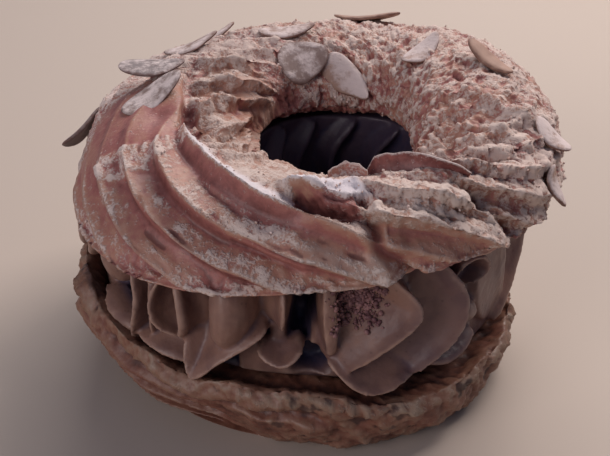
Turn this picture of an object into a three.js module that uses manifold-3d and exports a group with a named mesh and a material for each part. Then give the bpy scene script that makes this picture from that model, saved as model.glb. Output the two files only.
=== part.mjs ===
// Paris-Brest: a ring of baked choux pastry, split and filled with piped praline cream.
// Three rings lie on each other: the lower choux half, the cream, and the upper choux half
// with its twisted star-piped ridges and the flaked almonds baked onto it.
// Millimetres, +Z up. Angles in degrees: 0 is +X (right), 90 back, 180 left, 270 front.

import * as THREE from 'three';
import { mergeVertices } from 'three/addons/utils/BufferGeometryUtils.js';
import Module from 'manifold-3d';

const wasm = await Module();
wasm.setup();

// ---------------------------------------------------------------- driving dimensions

const CLEARANCE = 0.3; // gap kept between rings that touch
const FULL_TURN = 360;
const TABLE_STEP = 30; // every size table below has one value each 30 degrees of the ring

// Upper choux half. Sizes are measured from the centres below, the hole's one lies off
// the outer one because the left of the ring was piped fatter than the right.
const CAP = {
  outerCentre: [4.5, 0],
  holeCentre: [12, -1],
  outerRadius: [48.6, 50, 50, 48, 47, 47.3, 45.4, 46.3, 47.8, 46, 45.8, 46.2],
  holeRadius: [12.2, 12.6, 13.8, 15, 16.6, 18, 18, 18.2, 17.8, 16.5, 15.6, 13.6],
  rimHeight: [40, 42, 42, 40, 38, 36, 36, 36, 38, 40, 41.5, 39.5],
  lipHeight: [44, 44.8, 45.2, 45, 45.4, 45, 44, 44, 43.5, 43, 43, 43.5],
  dome: [13.5, 14, 12.4, 13.5, 14.3, 15, 16, 16, 15, 13, 12, 12],
  sink: [0, 0, 0, 0, 0, 0, 0.4, 4.3, 6.6, 6.4, 6, 3], // the near side falls towards the hole
  sinkTurn: 128, // where on the section it sinks most, and how far that reaches
  sinkHigh: 62,
  underside: 3,
  squareness: 0.85,
  unevenness: 0.45,
};

// Twisted ridges left by the star nozzle on the upper half.
const RIDGES = {
  perSection: 16, // ridges round the section
  perRing: 18, // ridges that the twist passes in one turn of the ring
  samples: 3, // mesh columns to a ridge: crest, foot of its steep face, gentle back
  firstCrest: 3.5, // where a crest meets angle 0
  crest: 1.25, // height of a crest, of the foot of its steep face, and how far the
  foot: -1.15, // gentle back has risen again at the third sample
  backShare: 0.42,
  strength: [0.25, 0.25, 0.3, 0.35, 0.45, 0.6, 0.9, 1.15, 1.2, 1.05, 0.95, 0.7],
  drift: [14, 6, 0, 0, 0, 0, 0, 0, 0, 0, 4, 20], // extra fall of the ridges, degrees
  fadeTurn: 60, // the ridges show round this turn, and fade out over the last degrees
  fadeReach: 105,
  fadeRun: 35,
};

// Mesh rows round the ring, closer together where folds cross the section.
const ROW_SPANS = [
  { from: 0, to: 140, rows: 12 },
  { from: 140, to: 250, rows: 20 },
  { from: 250, to: 310, rows: 8 },
  { from: 310, to: 360, rows: 8 },
];

// Ridges that are stronger or weaker on part of their way: angle and share.
const RIDGE_SHARES = {
  1: [[198, 0.5], [208, 1.05], [276, 1.0], [286, 0.5], [296, 0.3]],
  0: [[252, 0], [262, 1.3], [272, 1.7], [300, 1.1], [318, 0.8]],
  15: [[268, 0], [280, 0.8], [300, 1.0], [318, 0.8]],
  14: [[284, 0], [296, 0.6], [312, 1.2]],
  13: [[300, 0], [312, 0.9], [330, 1.2]],
};
const BRIGHT_RIDGE = 1; // the ridge that runs on into the seam, above it the dome is plain
// How far the bright ridge lies above its place in the twist: angle and degrees of turn.
const BRIGHT_RAISED = [
  [196, -9], [208, -14], [216, -8], [223, -2], [229, 3], [237, 5.6], [244, 7], [256, 7],
  [265, 8.5], [275, 7.4], [281, 4], [290, 0],
];
// The seam on the left, where the piping started: angle and turn.
const SEAM = { line: [[150, 92], [172, 98], [195, 98], [209, 90]], end: 209, step: 2.2 };
// Where the ridges begin beside it: turn and angle, and the degrees that this takes.
const RIDGE_START = {
  line: [[10, 194], [38, 203], [48, 206], [58, 209], [66, 212], [75, 214], [84, 210], [92, 204]],
  from: -3,
  to: 13,
  share: 0.85,
};

// Wavy folds that cross the section: where they lie, their heights, which part of the way
// to the next one is steep, and how they bend with the turn.
const LEFT_FOLDS = {
  lines: [146, 160, 176, 191, 210, 222, 233, 246],
  heights: [1.6, 2.2, 2.4, 2.6, 2.6, 2.0, 1.6, 0.8],
  bend: [[80, 0], [95, 0], [115, 1], [140, 9], [160, 26], [175, 40]],
  sign: 1,
};
const RIGHT_FOLDS = {
  lines: [-372, -357, -345, -334, -325, -310],
  heights: [0.3, 0.7, 1.2, 2.2, 2.4, 0],
  bend: [[40, -6], [62, -3], [88, 0], [121, 1]],
  sign: -1,
};
const FOLD_STEEP = 0.28;
const FOLD_FLOOR = 0.6; // folds cut in this far between each other

// Where a ridge runs out at the rim it ends in a point that juts out.
const RIM_TIPS = [
  { angle: 252, reach: 0.8, run: 14 },
  { angle: 268, reach: 1.0, run: 14 },
  { angle: 285, reach: 2.0, run: 18 },
  { angle: 312.5, reach: 2.0, run: 22 },
  { angle: 333, reach: 0.8, run: 14 },
];
const TIP_RETURN = 5; // degrees in which the rim steps back behind a point
const TIP_TURN = 4; // where on the section the points are, and how far they reach
const TIP_HIGH = 50;

// Local swells and hollows of the upper half: place, size in degrees and height.
const SWELLS = [
  { angle: 206, turn: 112, wide: 13, high: 14, lift: -2.0 }, // recess beside the seam
  { angle: 193, turn: 92, wide: 12, high: 9, lift: 1.0 }, // fold over the seam
  { angle: 268, turn: 53, wide: 9, high: 10, lift: -1.6 }, // hollow under the sugar lump
  { angle: 266, turn: 69, wide: 9, high: 8, lift: 1.2 }, // sugar lump
  { angle: 296, turn: 46, wide: 13, high: 24, lift: 1.8 }, // front right lobe
  { angle: 310, turn: 36, wide: 6, high: 22, lift: -3.0 }, // groove beside it
  { angle: 328, turn: 40, wide: 11, high: 26, lift: 1.6 }, // right lobe
  { angle: 318, turn: 108, wide: 16, high: 12, lift: -2.4 }, // ledge on the hole side
];

// Lower choux half, a shallow bowl that stands on its flat foot. Places across its section
// run from -1 at the hole to 1 at the outside.
const BASE = {
  outerCentre: [0, 0],
  holeCentre: [7, 0],
  outerRadius: [45, 45, 45, 45, 45, 44, 43, 42.5, 43.5, 45, 47.5, 47.2],
  holeRadius: 14.5,
  rimHeight: [14, 16, 17, 17, 18, 20, 20.5, 17.5, 16.5, 16, 12, 12],
  rimSwell: { angle: 199, wide: 11, high: 4 }, // the rim's knob at the left
  slant: [0.1, 0, 0, 0, 0, 0.1, 0.3, 0.55, 0.8, 0.35, 0.1, 0.15], // 0 round, 1 straight wall
  innerRimHeight: 13,
  floorHeight: [10, 9, 9, 9, 10, 12.5, 15, 15, 14, 13.5, 10.8, 10.5],
  foot: 0.5, // where the flat foot ends
  widestAt: 0.85, // share of the rim height where the wall stands out most
  edgeAt: [0.99, 0.94], // place and share of the rim height of the rounded edge above it
  bowlEdge: 0.93, // where the rims go over into the bowl
  bowlFrom: 0.6, // where the bowl starts to climb to its rims
  bowlTo: 0.94,
  tubeHalf: 15, // half the breadth of the pastry tube
  wallSteps: 9,
  bowlSteps: 5,
  innerSteps: 2,
  rings: 46,
};
// Ridges that sweep down along the left of its wall, and dimples on the rest.
const BASE_RIDGES = { height: 1.3, count: 2.6, fall: 0.02, middle: 226, spread: 62 };
const BASE_DENT = { angle: 245, wide: 22, depth: 2.4, from: 0.6, to: 0.95 }; // below its rim
const BASE_DIMPLES = { height: 1.1, rhythm: 2, turns: 150 };
const BASE_RIM = { uneven: 0.9, rhythm: 1.5, turn: 90 };

// Piped praline cream: a core ring, and folds that stand out from it.
const CREAM = {
  centre: [3.5, 0],
  outerRadius: [39.6, 39.6, 39.5, 39.5, 40, 40.5, 41, 40.6, 38.9, 38, 38.3, 38.7],
  holeCentre: [10, 0],
  holeRadius: 18.5,
  coreGap: 1.2, // wider than the clearance, so that only folds are cut
  shoulder: 0.6, // share of the wall's height of its middle row, and how far the wall
  wallTop: 0.5, // ends below the cap, outside and in the hole
  holeTop: 1.0,
  topTurns: [-75, -90, -110], // places on the cap's underside that the core's top follows
  bottomShares: [0.15, 0.35, 0.6, 0.8, 0.9], // places from the hole that its bottom follows
  rings: 30,
};

// A fold is a rib of cream along a path on the core's wall. path lists angle and height,
// reach is how far its edge stands out, before and after are its breadths on both sides.
const FRONT_FOLDS = [
  { path: [[213, 38], [215, 33], [214, 27]], reach: 5, before: 5, after: 4 },
  { path: [[224, 37], [226.5, 27], [221, 18]], reach: 6, before: 4.6, after: 2 },
  { path: [[229, 37], [230, 28], [227.4, 20]], reach: 4.8, before: 2, after: 2 },
  { path: [[234, 36], [230.6, 29], [236.4, 21.4]], reach: 5.6, before: 2, after: 2 },
  { path: [[236, 36], [239, 29], [236.6, 22]], reach: 6.2, before: 1.8, after: 3.6 },
  { path: [[250.6, 39], [251.6, 31], [249.4, 22.5]], reach: 8, before: 4.3, after: 4 },
  { path: [[260, 26.5], [250, 21.5], [240, 20]], reach: 7, before: 6.5, after: 2 },
  { path: [[264.2, 39], [264.6, 33], [264, 27]], reach: 6.8, before: 5, after: 1.4 },
  { path: [[286, 40], [294, 29], [278, 17.5]], reach: 7.4, before: 11.5, after: 2 },
  { path: [[273.8, 39], [273.6, 30], [275, 21]], reach: 4.8, before: 1.4, after: 6 },
  { path: [[302, 39], [308.6, 26], [297, 15.5]], reach: 6.8, before: 8.5, after: 2 },
  { path: [[298, 16], [285, 16], [275, 20]], reach: 6.2, before: 5.5, after: 2 },
  { path: [[310, 33], [316, 35], [316, 28]], reach: 5.4, before: 1.8, after: 1.8 },
  { path: [[309, 27], [314, 23.5], [320, 22]], reach: 4.2, before: 2.6, after: 2.4 },
  { path: [[334, 37], [337, 26], [340, 15]], reach: 2.6, before: 12, after: 2.4 },
  { path: [[241, 17.4], [232, 18.6], [221, 19]], reach: 5, before: 3.6, after: 2 },
  { path: [[219, 18.5], [209, 19.5], [199, 21.5]], reach: 4.6, before: 2.4, after: 2.2 },
  { path: [[269, 22.6], [263.6, 20.6], [257, 22]], reach: 5, before: 2.4, after: 2 },
];

// Round the side and back the folds lie one behind the other.
const BACK_FOLDS = {
  from: 348,
  to: 562,
  step: 21,
  bow: [7, 13], // least and greatest swing of a fold, degrees
  sway: [-0.6, 0.4, -1], // shares of the swing at its top, middle and bottom
  top: 37,
  lift: 2, // most that its middle is raised
  footAt: 0.8, // its bottom lies above this place across the bowl
  footGap: 1,
  reach: 5.6,
  before: 9,
  after: 4,
};
// Inside the hole the same folds show as upright ribs.
const HOLE_FOLDS = {
  count: 7,
  shift: 8,
  sway: [-10, 8, -12],
  top: 40,
  middle: [0.45, 0.65],
  bottom: 13,
  reach: 2.5,
  before: 4,
  after: 2.5,
};
const FOLD_SEED = 43;
// Section of a fold: shares of its breadth and reach, and a foot sunk in the core.
const FOLD = {
  steps: 5,
  endSize: 0.35,
  roundness: 0.5,
  sink: 3,
  section: [[-1, -1], [-0.55, 0.4], [0, 1], [0.35, 0.85], [1, -1]],
};

// Flaked almonds: place on the upper half, length, width, turn about their own normal,
// tip away from the surface and how far the middle lies above it.
const ALMONDS = [
  { angle: 75, turn: 64, long: 15, wide: 6, spin: -14, tip: 4, lift: 1.2 },
  { angle: 169.3, turn: 18, long: 11.2, wide: 6, spin: 39.7, tip: -27, lift: 1.8 },
  { angle: 188, turn: 85.5, long: 13, wide: 9, spin: 19.5, tip: 16.7, lift: 0.7 },
  { angle: 171.8, turn: 84, long: 12.7, wide: 10, spin: 7.5, tip: -14, lift: 2.4 },
  { angle: 143, turn: 84, long: 12, wide: 7, spin: 5, tip: 6, lift: 0.8 },
  { angle: 118, turn: 144, long: 10.5, wide: 9, spin: 30, tip: 8, lift: 0.6 },
  { angle: 92, turn: 158, long: 12, wide: 6.5, spin: -45, tip: 6, lift: 0.5 },
  { angle: 112, turn: 104, long: 12, wide: 6, spin: 8, tip: 6, lift: 0.6 },
  { angle: 42, turn: 116, long: 9.5, wide: 6, spin: 30, tip: 10, lift: 0.6 },
  { angle: 15, turn: 88, long: 11, wide: 4.6, spin: -36, tip: -12, lift: 1.2 },
  { angle: 347.6, turn: 40, long: 9, wide: 6.5, spin: -30, tip: 21, lift: 0.9 },
  { angle: 337.7, turn: 13.5, long: 8.2, wide: 5.3, spin: -36, tip: 10.5, lift: 1.3 },
  { angle: 128, turn: 74, long: 9, wide: 6, spin: 10, tip: 8, lift: 0.6 },
];
const ALMOND_THICKNESS = 1.0;
const ALMOND_SIDES = 10;
const ALMOND_POINT = 0.22; // how much narrower its pointed end is

// Thin blistered skin that stands along the hole's near right edge: angle, turn of its
// foot and height.
const SKIN = {
  line: [
    [280, 94, 1.0], [283, 93, 3.0], [287, 91, 3.6], [291, 87, 3.3], [295, 80, 2.8], [299, 71, 2.8],
    [303, 64, 2.5], [306, 60, 1.7], [308.5, 58, 0.8],
  ],
  rooted: 2, // depth of its foot in the dome
  foot: 5, // breadth of its foot and of its edge, degrees of turn
  edge: 3.5,
  bow: 2, // how far its middle bows, degrees of turn
};

// ---------------------------------------------------------------- helpers

const EXACT = 1e-4; // vertices this close are one vertex
const MERGE_DISTANCE = 1e-3; // the same after a cut, so that no sliver is left

const MOST_LEANING = 0.35; // limits how far a sharp edge moves when a solid is grown
const NORMAL_STEP = 2; // degrees either side at which a surface's direction is taken
const LEHMER = { factor: 16807, modulus: 2147483647 }; // a common random number generator
// Waves that make dough uneven: height, waves round the ring and section, start.
const WAVES = [[0.4, 5, 2, 0.7], [0.35, 11, -3, 2.1], [0.25, 19, 5, 4.4]];

const radians = THREE.MathUtils.degToRad;
const { lerp, smoothstep, clamp } = THREE.MathUtils;

/** Smooth value of a table with one entry each TABLE_STEP degrees of the ring. */
function around(table, angle) {
  const count = table.length;
  const place = (((angle % FULL_TURN) + FULL_TURN) % FULL_TURN) / TABLE_STEP;
  const index = Math.floor(place);
  const [a, b, c, d] = [-1, 0, 1, 2].map((k) => table[(index + k + count) % count]);
  const t = place - index;
  return b + 0.5 * t * (c - a + t * (2 * a - 5 * b + 4 * c - d + t * (3 * (b - c) + d - a)));
}

/** Signed distance between two angles, -180 to 180. */
function angleBetween(angle, other) {
  return ((((angle - other) % FULL_TURN) + 1.5 * FULL_TURN) % FULL_TURN) - FULL_TURN / 2;
}

/** Smooth bump, 1 at the middle and 0 from one width away. */
function bump(distance, width) {
  const share = Math.min(Math.abs(distance) / width, 1);
  return (1 - share * share) ** 2;
}

/** Value at a place on a line of [place, value] pairs, level beyond its ends. */
function along(line, place) {
  if (place <= line[0][0]) return line[0][1];
  for (let index = 1; index < line.length; index += 1) {
    const [from, low] = line[index - 1];
    const [to, high] = line[index];
    if (place <= to) return lerp(low, high, (place - from) / (to - from));
  }
  return line[line.length - 1][1];
}

/** Gentle unevenness of hand-piped dough, about -1 to 1. */
function uneven(angle, turn) {
  const a = radians(angle);
  const b = radians(turn);
  let sum = 0;
  for (const [height, round, over, start] of WAVES) {
    sum += height * Math.sin(round * a + over * b + start);
  }
  return sum;
}

/** Repeatable random numbers from 0 to 1. */
function seededRandom(seed) {
  let state = seed;
  return () => {
    state = (state * LEHMER.factor) % LEHMER.modulus;
    return state / LEHMER.modulus;
  };
}

/** Point of the plan at an angle and radius from a centre. */
function planPoint(centre, radius, angle) {
  const a = radians(angle);
  return new THREE.Vector2(centre[0] + radius * Math.cos(a), centre[1] + radius * Math.sin(a));
}

/** Closed geometry from points and triangles, turned so that its faces point out. */
function closedGeometry(points, faces) {
  let volume = 0;
  for (const [a, b, c] of faces) {
    volume += points[a].dot(new THREE.Vector3().crossVectors(points[b], points[c]));
  }
  const ordered = volume < 0 ? faces.map(([a, b, c]) => [a, c, b]) : faces;
  const geometry = new THREE.BufferGeometry();
  const positions = points.flatMap((point) => point.toArray());
  geometry.setAttribute('position', new THREE.Float32BufferAttribute(positions, 3));
  geometry.setIndex(ordered.flat());
  return geometry;
}

/** Closed ring from rows of section points; the last row joins the first, moved by shift. */
function ringGeometry(rows, shift = 0) {
  const columns = rows[0].length;
  const faces = [];
  rows.forEach((_, row) => {
    const next = (row + 1) % rows.length;
    const moved = next === 0 ? shift : 0;
    for (let column = 0; column < columns; column += 1) {
      const right = (column + 1) % columns;
      const a = row * columns + column;
      const b = row * columns + right;
      const c = next * columns + ((column + moved) % columns);
      const d = next * columns + ((right + moved) % columns);
      faces.push([a, b, d], [a, d, c]);
    }
  });
  return closedGeometry(rows.flat(), faces);
}

/** Closed bar from rows of section points, shut by a fan at each end. */
function barGeometry(rows) {
  const columns = rows[0].length;
  const points = rows.flat();
  const faces = [];
  for (let row = 0; row < rows.length - 1; row += 1) {
    for (let column = 0; column < columns; column += 1) {
      const right = (column + 1) % columns;
      const a = row * columns + column;
      const b = row * columns + right;
      faces.push([a, b, b + columns], [a, b + columns, a + columns]);
    }
  }
  const last = (rows.length - 1) * columns;
  for (let column = 1; column < columns - 1; column += 1) {
    faces.push([0, column + 1, column], [last, last + column, last + column + 1]);
  }
  return closedGeometry(points, faces);
}

/** Manifold solid of a closed geometry. */
function toSolid(geometry, distance = EXACT) {
  const bare = geometry.clone();
  bare.deleteAttribute('normal');
  bare.deleteAttribute('uv');
  const merged = mergeVertices(bare, distance);
  return new wasm.Manifold(
    new wasm.Mesh({
      numProp: 3,
      vertProperties: new Float32Array(merged.attributes.position.array),
      triVerts: new Uint32Array(merged.index.array),
    }),
  );
}

/** Buffer geometry of a manifold solid. */
function bufferOf(solid) {
  const mesh = solid.getMesh();
  const geometry = new THREE.BufferGeometry();
  geometry.setAttribute('position', new THREE.BufferAttribute(mesh.vertProperties, 3));
  geometry.setIndex(new THREE.BufferAttribute(mesh.triVerts, 1));
  return geometry;
}

/** Geometry of a solid's main body, without slivers, cut scraps and sealed hollows. */
function toGeometry(solid) {
  const merged = toSolid(bufferOf(solid), MERGE_DISTANCE);
  const bodies = merged.decompose().sort((a, b) => b.volume() - a.volume());
  return bufferOf(bodies[0]);
}

/** Named mesh with a plain material of its own. */
function namedMesh(name, geometry, color, roughness) {
  const material = new THREE.MeshStandardMaterial({ color, roughness, metalness: 0 });
  const mesh = new THREE.Mesh(geometry, material);
  mesh.name = name;
  return mesh;
}

// ---------------------------------------------------------------- upper choux half

/** Extra reach of the rim at an angle, where ridges end in points. */
function rimTipReach(angle) {
  let reach = 0;
  for (const tip of RIM_TIPS) {
    const past = angleBetween(angle, tip.angle);
    const share = past < 0 ? 1 + past / tip.run : 1 - past / TIP_RETURN;
    reach = Math.max(reach, tip.reach * Math.max(share, 0));
  }
  return reach;
}

/** Local swells and hollows of the upper half. */
function swellLift(angle, turn) {
  let lift = 0;
  for (const swell of SWELLS) {
    const beside = bump(angleBetween(angle, swell.angle), swell.wide);
    lift += swell.lift * beside * bump(angleBetween(turn, swell.turn), swell.high);
  }
  return lift;
}

/** How strongly the ridges show: full over the dome, none underneath. */
function ridgeFade(turn) {
  const distance = Math.abs(angleBetween(turn, RIDGES.fadeTurn));
  return clamp((RIDGES.fadeReach - distance) / RIDGES.fadeRun, 0, 1);
}

/** Point of the upper half at an angle of the ring and a turn round its section. */
function capPoint(angle, turn, lift) {
  const outer = planPoint(CAP.outerCentre, around(CAP.outerRadius, angle), angle);
  const inner = planPoint(CAP.holeCentre, around(CAP.holeRadius, angle), angle);
  const middle = outer.clone().add(inner).multiplyScalar(0.5);
  const half = outer.clone().sub(inner).multiplyScalar(0.5);
  const cos = Math.cos(radians(turn));
  const sin = Math.sin(radians(turn));
  const across = Math.sign(cos) * Math.abs(cos) ** CAP.squareness;
  const up = Math.sign(sin) * Math.abs(sin) ** CAP.squareness;
  const tip = rimTipReach(angle) * bump(angleBetween(turn, TIP_TURN), TIP_HIGH);
  const stretch = 1 + (lift + tip) / half.length();
  const plan = middle.add(half.multiplyScalar(across * stretch));
  const rim = around(CAP.rimHeight, angle);
  const lip = around(CAP.lipHeight, angle);
  const rise = up > 0 ? around(CAP.dome, angle) + lift : CAP.underside + lift;
  const sink = around(CAP.sink, angle) * bump(angleBetween(turn, CAP.sinkTurn), CAP.sinkHigh);
  const height = lip + ((rim - lip) * (1 + across)) / 2 + rise * up - sink;
  return new THREE.Vector3(plan.x, plan.y, height);
}

/** Turn at which a ridge's crest lies at an angle of the ring. */
function ridgeTurn(number, angle) {
  const spacing = FULL_TURN / RIDGES.perSection;
  const twist = RIDGES.perRing / RIDGES.perSection;
  const raised = along(BRIGHT_RAISED, angle) * Math.max(1 - Math.abs(number - BRIGHT_RIDGE), 0);
  return RIDGES.firstCrest - number * spacing - twist * angle - around(RIDGES.drift, angle) + raised;
}

/** Strength of one ridge along its way, next to the strength that all have there. */
function ridgeShare(number, angle) {
  const line = RIDGE_SHARES[number % RIDGES.perSection];
  return line ? along(line, angle) : 1;
}

/** Distance past the bright ridge and its seam, towards the hole, in degrees of turn. */
function beyondSeam(angle, turn) {
  const line = angle < SEAM.end ? along(SEAM.line, angle) : ridgeTurn(BRIGHT_RIDGE, angle);
  return angleBetween(turn, line);
}

/** Height of wavy folds, each with a steep side and a gentle one. */
function foldHeight({ lines, heights, bend, sign }, angle, turn) {
  const straight = sign * (angle + along(bend, turn));
  const place = along(lines.map((line, index) => [line, index]), straight);
  const number = Math.min(Math.floor(place), lines.length - 2);
  const phase = place - number;
  if (phase < FOLD_STEEP) return heights[number] * (1 - phase / FOLD_STEEP) - FOLD_FLOOR;
  return heights[number + 1] * ((phase - FOLD_STEEP) / (1 - FOLD_STEEP)) ** 2 - FOLD_FLOOR;
}

/** Folds of the hole side on the left, the seam's step, and the ledges of the right. */
function foldLift(angle, turn) {
  if (turn < 0) return 0;
  const beyond = beyondSeam(angle, turn);
  const holeSide = smoothstep(beyond, 3, 9) * (1 - smoothstep(turn, 160, 176));
  const left = smoothstep(angle, 140, 156) * (1 - smoothstep(angle, 232, 248)) * holeSide;
  const seam = smoothstep(angle, 160, 176) * (1 - smoothstep(angle, 214, 230));
  const step = seam * smoothstep(beyond, -1, 3) * SEAM.step;
  const right = smoothstep(angle, 312, 322) * (1 - smoothstep(angle, 352, 359));
  const ledges = right * Math.sqrt(bump(turn - 88, 62));
  const folds = left * foldHeight(LEFT_FOLDS, angle, turn);
  return folds - step + ledges * foldHeight(RIGHT_FOLDS, angle, turn);
}

/** Share of the ridges left beside the seam and on the dome between it and the hole. */
function ridgedShare(angle, turn) {
  const left = smoothstep(angle, 150, 172) * (1 - smoothstep(angle, 250, 264));
  const dome = left * smoothstep(beyondSeam(angle, turn), 2, 9);
  const past = angle - along(RIDGE_START.line, turn);
  const side = smoothstep(angle, 158, 176) * smoothstep(turn, 4, 22);
  const start = side * (1 - smoothstep(past, RIDGE_START.from, RIDGE_START.to));
  return (1 - dome) * (1 - RIDGE_START.share * start);
}

/** Height of the ridges at a mesh column: crest, foot of the steep face, gentle back. */
function ridgeHeight(column, angle) {
  const number = Math.floor(column / RIDGES.samples);
  const crest = RIDGES.crest * ridgeShare(number, angle);
  const foot = RIDGES.foot * ridgeShare(number, angle);
  const next = RIDGES.crest * ridgeShare(number + 1, angle);
  return [crest, foot, lerp(foot, next, RIDGES.backShare)][column % RIDGES.samples];
}

/** Angles of the mesh rows of the upper half. */
function rowAngles() {
  return ROW_SPANS.flatMap(({ from, to, rows }) =>
    Array.from({ length: rows }, (_, row) => from + ((to - from) * row) / rows),
  );
}

/** Upper half without its almonds; the mesh columns follow the twisted ridges. */
function capBody() {
  const columns = RIDGES.perSection * RIDGES.samples;
  const rows = rowAngles().map((angle) => {
    const strength = around(RIDGES.strength, angle);
    const points = [];
    for (let column = 0; column < columns; column += 1) {
      const turn = angleBetween(ridgeTurn(column / RIDGES.samples, angle), 0);
      const fade = ridgeFade(turn);
      const ridge = ridgeHeight(column, angle) * strength * fade * ridgedShare(angle, turn);
      const rough = CAP.unevenness * uneven(angle, turn) * fade;
      const lift = ridge + rough + swellLift(angle, turn) + foldLift(angle, turn);
      points.push(capPoint(angle, turn, lift));
    }
    return points;
  });
  const shift = (RIDGES.perRing * RIDGES.samples) % columns;
  return ringGeometry(rows, shift);
}

/** Direction that points out of the upper half at a place. */
function capNormal(angle, turn) {
  const step = NORMAL_STEP;
  const alongRing = capPoint(angle + step, turn, 0).sub(capPoint(angle - step, turn, 0));
  const alongTurn = capPoint(angle, turn + step, 0).sub(capPoint(angle, turn - step, 0));
  return alongRing.cross(alongTurn).normalize();
}

/** One flaked almond: a thin slice with one pointed end, lying on the upper half. */
function almond({ angle, turn, long, wide, spin, tip, lift }) {
  const outline = new THREE.Shape();
  for (let side = 0; side < ALMOND_SIDES; side += 1) {
    const a = (2 * Math.PI * side) / ALMOND_SIDES;
    const narrowing = 1 - ALMOND_POINT * Math.cos(a);
    const x = (long / 2) * Math.cos(a);
    const y = (wide / 2) * Math.sin(a) * narrowing;
    outline[side ? 'lineTo' : 'moveTo'](x, y);
  }
  const slice = new THREE.ExtrudeGeometry(outline, { depth: ALMOND_THICKNESS, bevelEnabled: false });
  slice.translate(0, 0, -ALMOND_THICKNESS / 2);
  slice.rotateY(radians(-tip));
  slice.rotateZ(radians(spin));
  const normal = capNormal(angle, turn);
  const upright = new THREE.Vector3(0, 0, 1);
  slice.applyQuaternion(new THREE.Quaternion().setFromUnitVectors(upright, normal));
  const place = capPoint(angle, turn, 0).addScaledVector(normal, lift);
  slice.translate(place.x, place.y, place.z);
  return toSolid(slice);
}

/** Blistered skin along the hole edge: a thin curved blade that rises from the dome. */
function blisteredSkin() {
  const rows = SKIN.line.map(([angle, turn, height]) => [
    capPoint(angle, turn, -SKIN.rooted),
    capPoint(angle, turn - SKIN.bow, height / 2),
    capPoint(angle, turn, height),
    capPoint(angle, turn + SKIN.edge, height),
    capPoint(angle, turn + SKIN.foot, -SKIN.rooted),
  ]);
  return toSolid(barGeometry(rows));
}

/** The upper half with its skin and its almonds. */
function topRing(body) {
  let solid = toSolid(body).add(blisteredSkin());
  for (const flake of ALMONDS) {
    solid = solid.add(almond(flake));
  }
  return solid;
}

// ---------------------------------------------------------------- lower choux half

/** Height of the lower half's rim, as uneven as a torn edge. */
function baseRim(angle) {
  const tear = BASE_RIM.uneven * uneven(angle * BASE_RIM.rhythm, BASE_RIM.turn);
  const { high, wide } = BASE.rimSwell;
  const knob = high * bump(angleBetween(angle, BASE.rimSwell.angle), wide);
  return around(BASE.rimHeight, angle) + knob + tear;
}

/** Height of the hollowed upper face of the lower half, at a place across its section. */
function bowlHeight(angle, across) {
  const edge = across > 0 ? baseRim(angle) : BASE.innerRimHeight;
  const climb = smoothstep(Math.abs(across), BASE.bowlFrom, BASE.bowlTo);
  return lerp(Math.min(around(BASE.floorHeight, angle), edge), edge, climb);
}

/** Point of the lower half from its place across the section and its height. */
function basePoint(angle, across, height) {
  const outer = planPoint(BASE.outerCentre, around(BASE.outerRadius, angle), angle);
  const inner = planPoint(BASE.holeCentre, BASE.holeRadius, angle);
  const plan = inner.lerp(outer, (1 + across) / 2);
  return new THREE.Vector3(plan.x, plan.y, height);
}

/** Relief of the outer wall: sweeping ridges and a dent on the left, dimples elsewhere. */
function wallRelief(angle, share) {
  const sweep = bump(angleBetween(angle, BASE_RIDGES.middle), BASE_RIDGES.spread);
  const phase = share * BASE_RIDGES.count + (angle - BASE_RIDGES.middle) * BASE_RIDGES.fall;
  const ridge = BASE_RIDGES.height * Math.cos(2 * Math.PI * phase) * sweep;
  const dimple = uneven(angle * BASE_DIMPLES.rhythm, BASE_DIMPLES.turns * share);
  const beside = bump(angleBetween(angle, BASE_DENT.angle), BASE_DENT.wide);
  const dent = BASE_DENT.depth * beside * (1 - smoothstep(share, BASE_DENT.from, BASE_DENT.to));
  return ridge - dent + BASE_DIMPLES.height * dimple * (1 - sweep);
}

/** Section of the lower half at an angle: wall, rim, bowl, inner rim and inner wall. */
function baseSection(angle) {
  const rim = baseRim(angle);
  const slant = around(BASE.slant, angle);
  const points = [];
  for (let step = 0; step <= BASE.wallSteps; step += 1) {
    const share = step / BASE.wallSteps;
    const swing = (Math.PI / 2) * share;
    const across = lerp(BASE.foot, 1, lerp(Math.sin(swing), 1 - Math.cos(swing), slant));
    const height = BASE.widestAt * rim * (1 - Math.cos(swing));
    const relief = step ? wallRelief(angle, share) / BASE.tubeHalf : 0;
    points.push(basePoint(angle, across + relief, height));
  }
  const [edgeAcross, edgeShare] = BASE.edgeAt;
  points.push(basePoint(angle, edgeAcross, rim * edgeShare));
  for (let step = 0; step <= BASE.bowlSteps; step += 1) {
    const across = lerp(BASE.bowlEdge, -BASE.bowlEdge, step / BASE.bowlSteps);
    points.push(basePoint(angle, across, bowlHeight(angle, across)));
  }
  for (let step = BASE.innerSteps; step >= 0; step -= 1) {
    const swing = (Math.PI / 2) * (step / BASE.innerSteps);
    const across = -lerp(BASE.foot, 1, Math.sin(swing));
    const height = BASE.widestAt * BASE.innerRimHeight * (1 - Math.cos(swing));
    points.push(basePoint(angle, across, height));
  }
  return points;
}

/** The lower half, all round. */
function baseGeometry() {
  const rows = [];
  for (let row = 0; row < BASE.rings; row += 1) {
    rows.push(baseSection((row * FULL_TURN) / BASE.rings));
  }
  return ringGeometry(rows);
}

// ---------------------------------------------------------------- praline cream

/** Point on the core's outer wall. */
function creamWall(angle, height) {
  const plan = planPoint(CREAM.centre, around(CREAM.outerRadius, angle), angle);
  return new THREE.Vector3(plan.x, plan.y, height);
}

/** Point on the core's wall inside the hole. */
function creamHoleWall(angle, height) {
  const plan = planPoint(CREAM.holeCentre, CREAM.holeRadius, angle);
  return new THREE.Vector3(plan.x, plan.y, height);
}

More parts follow.
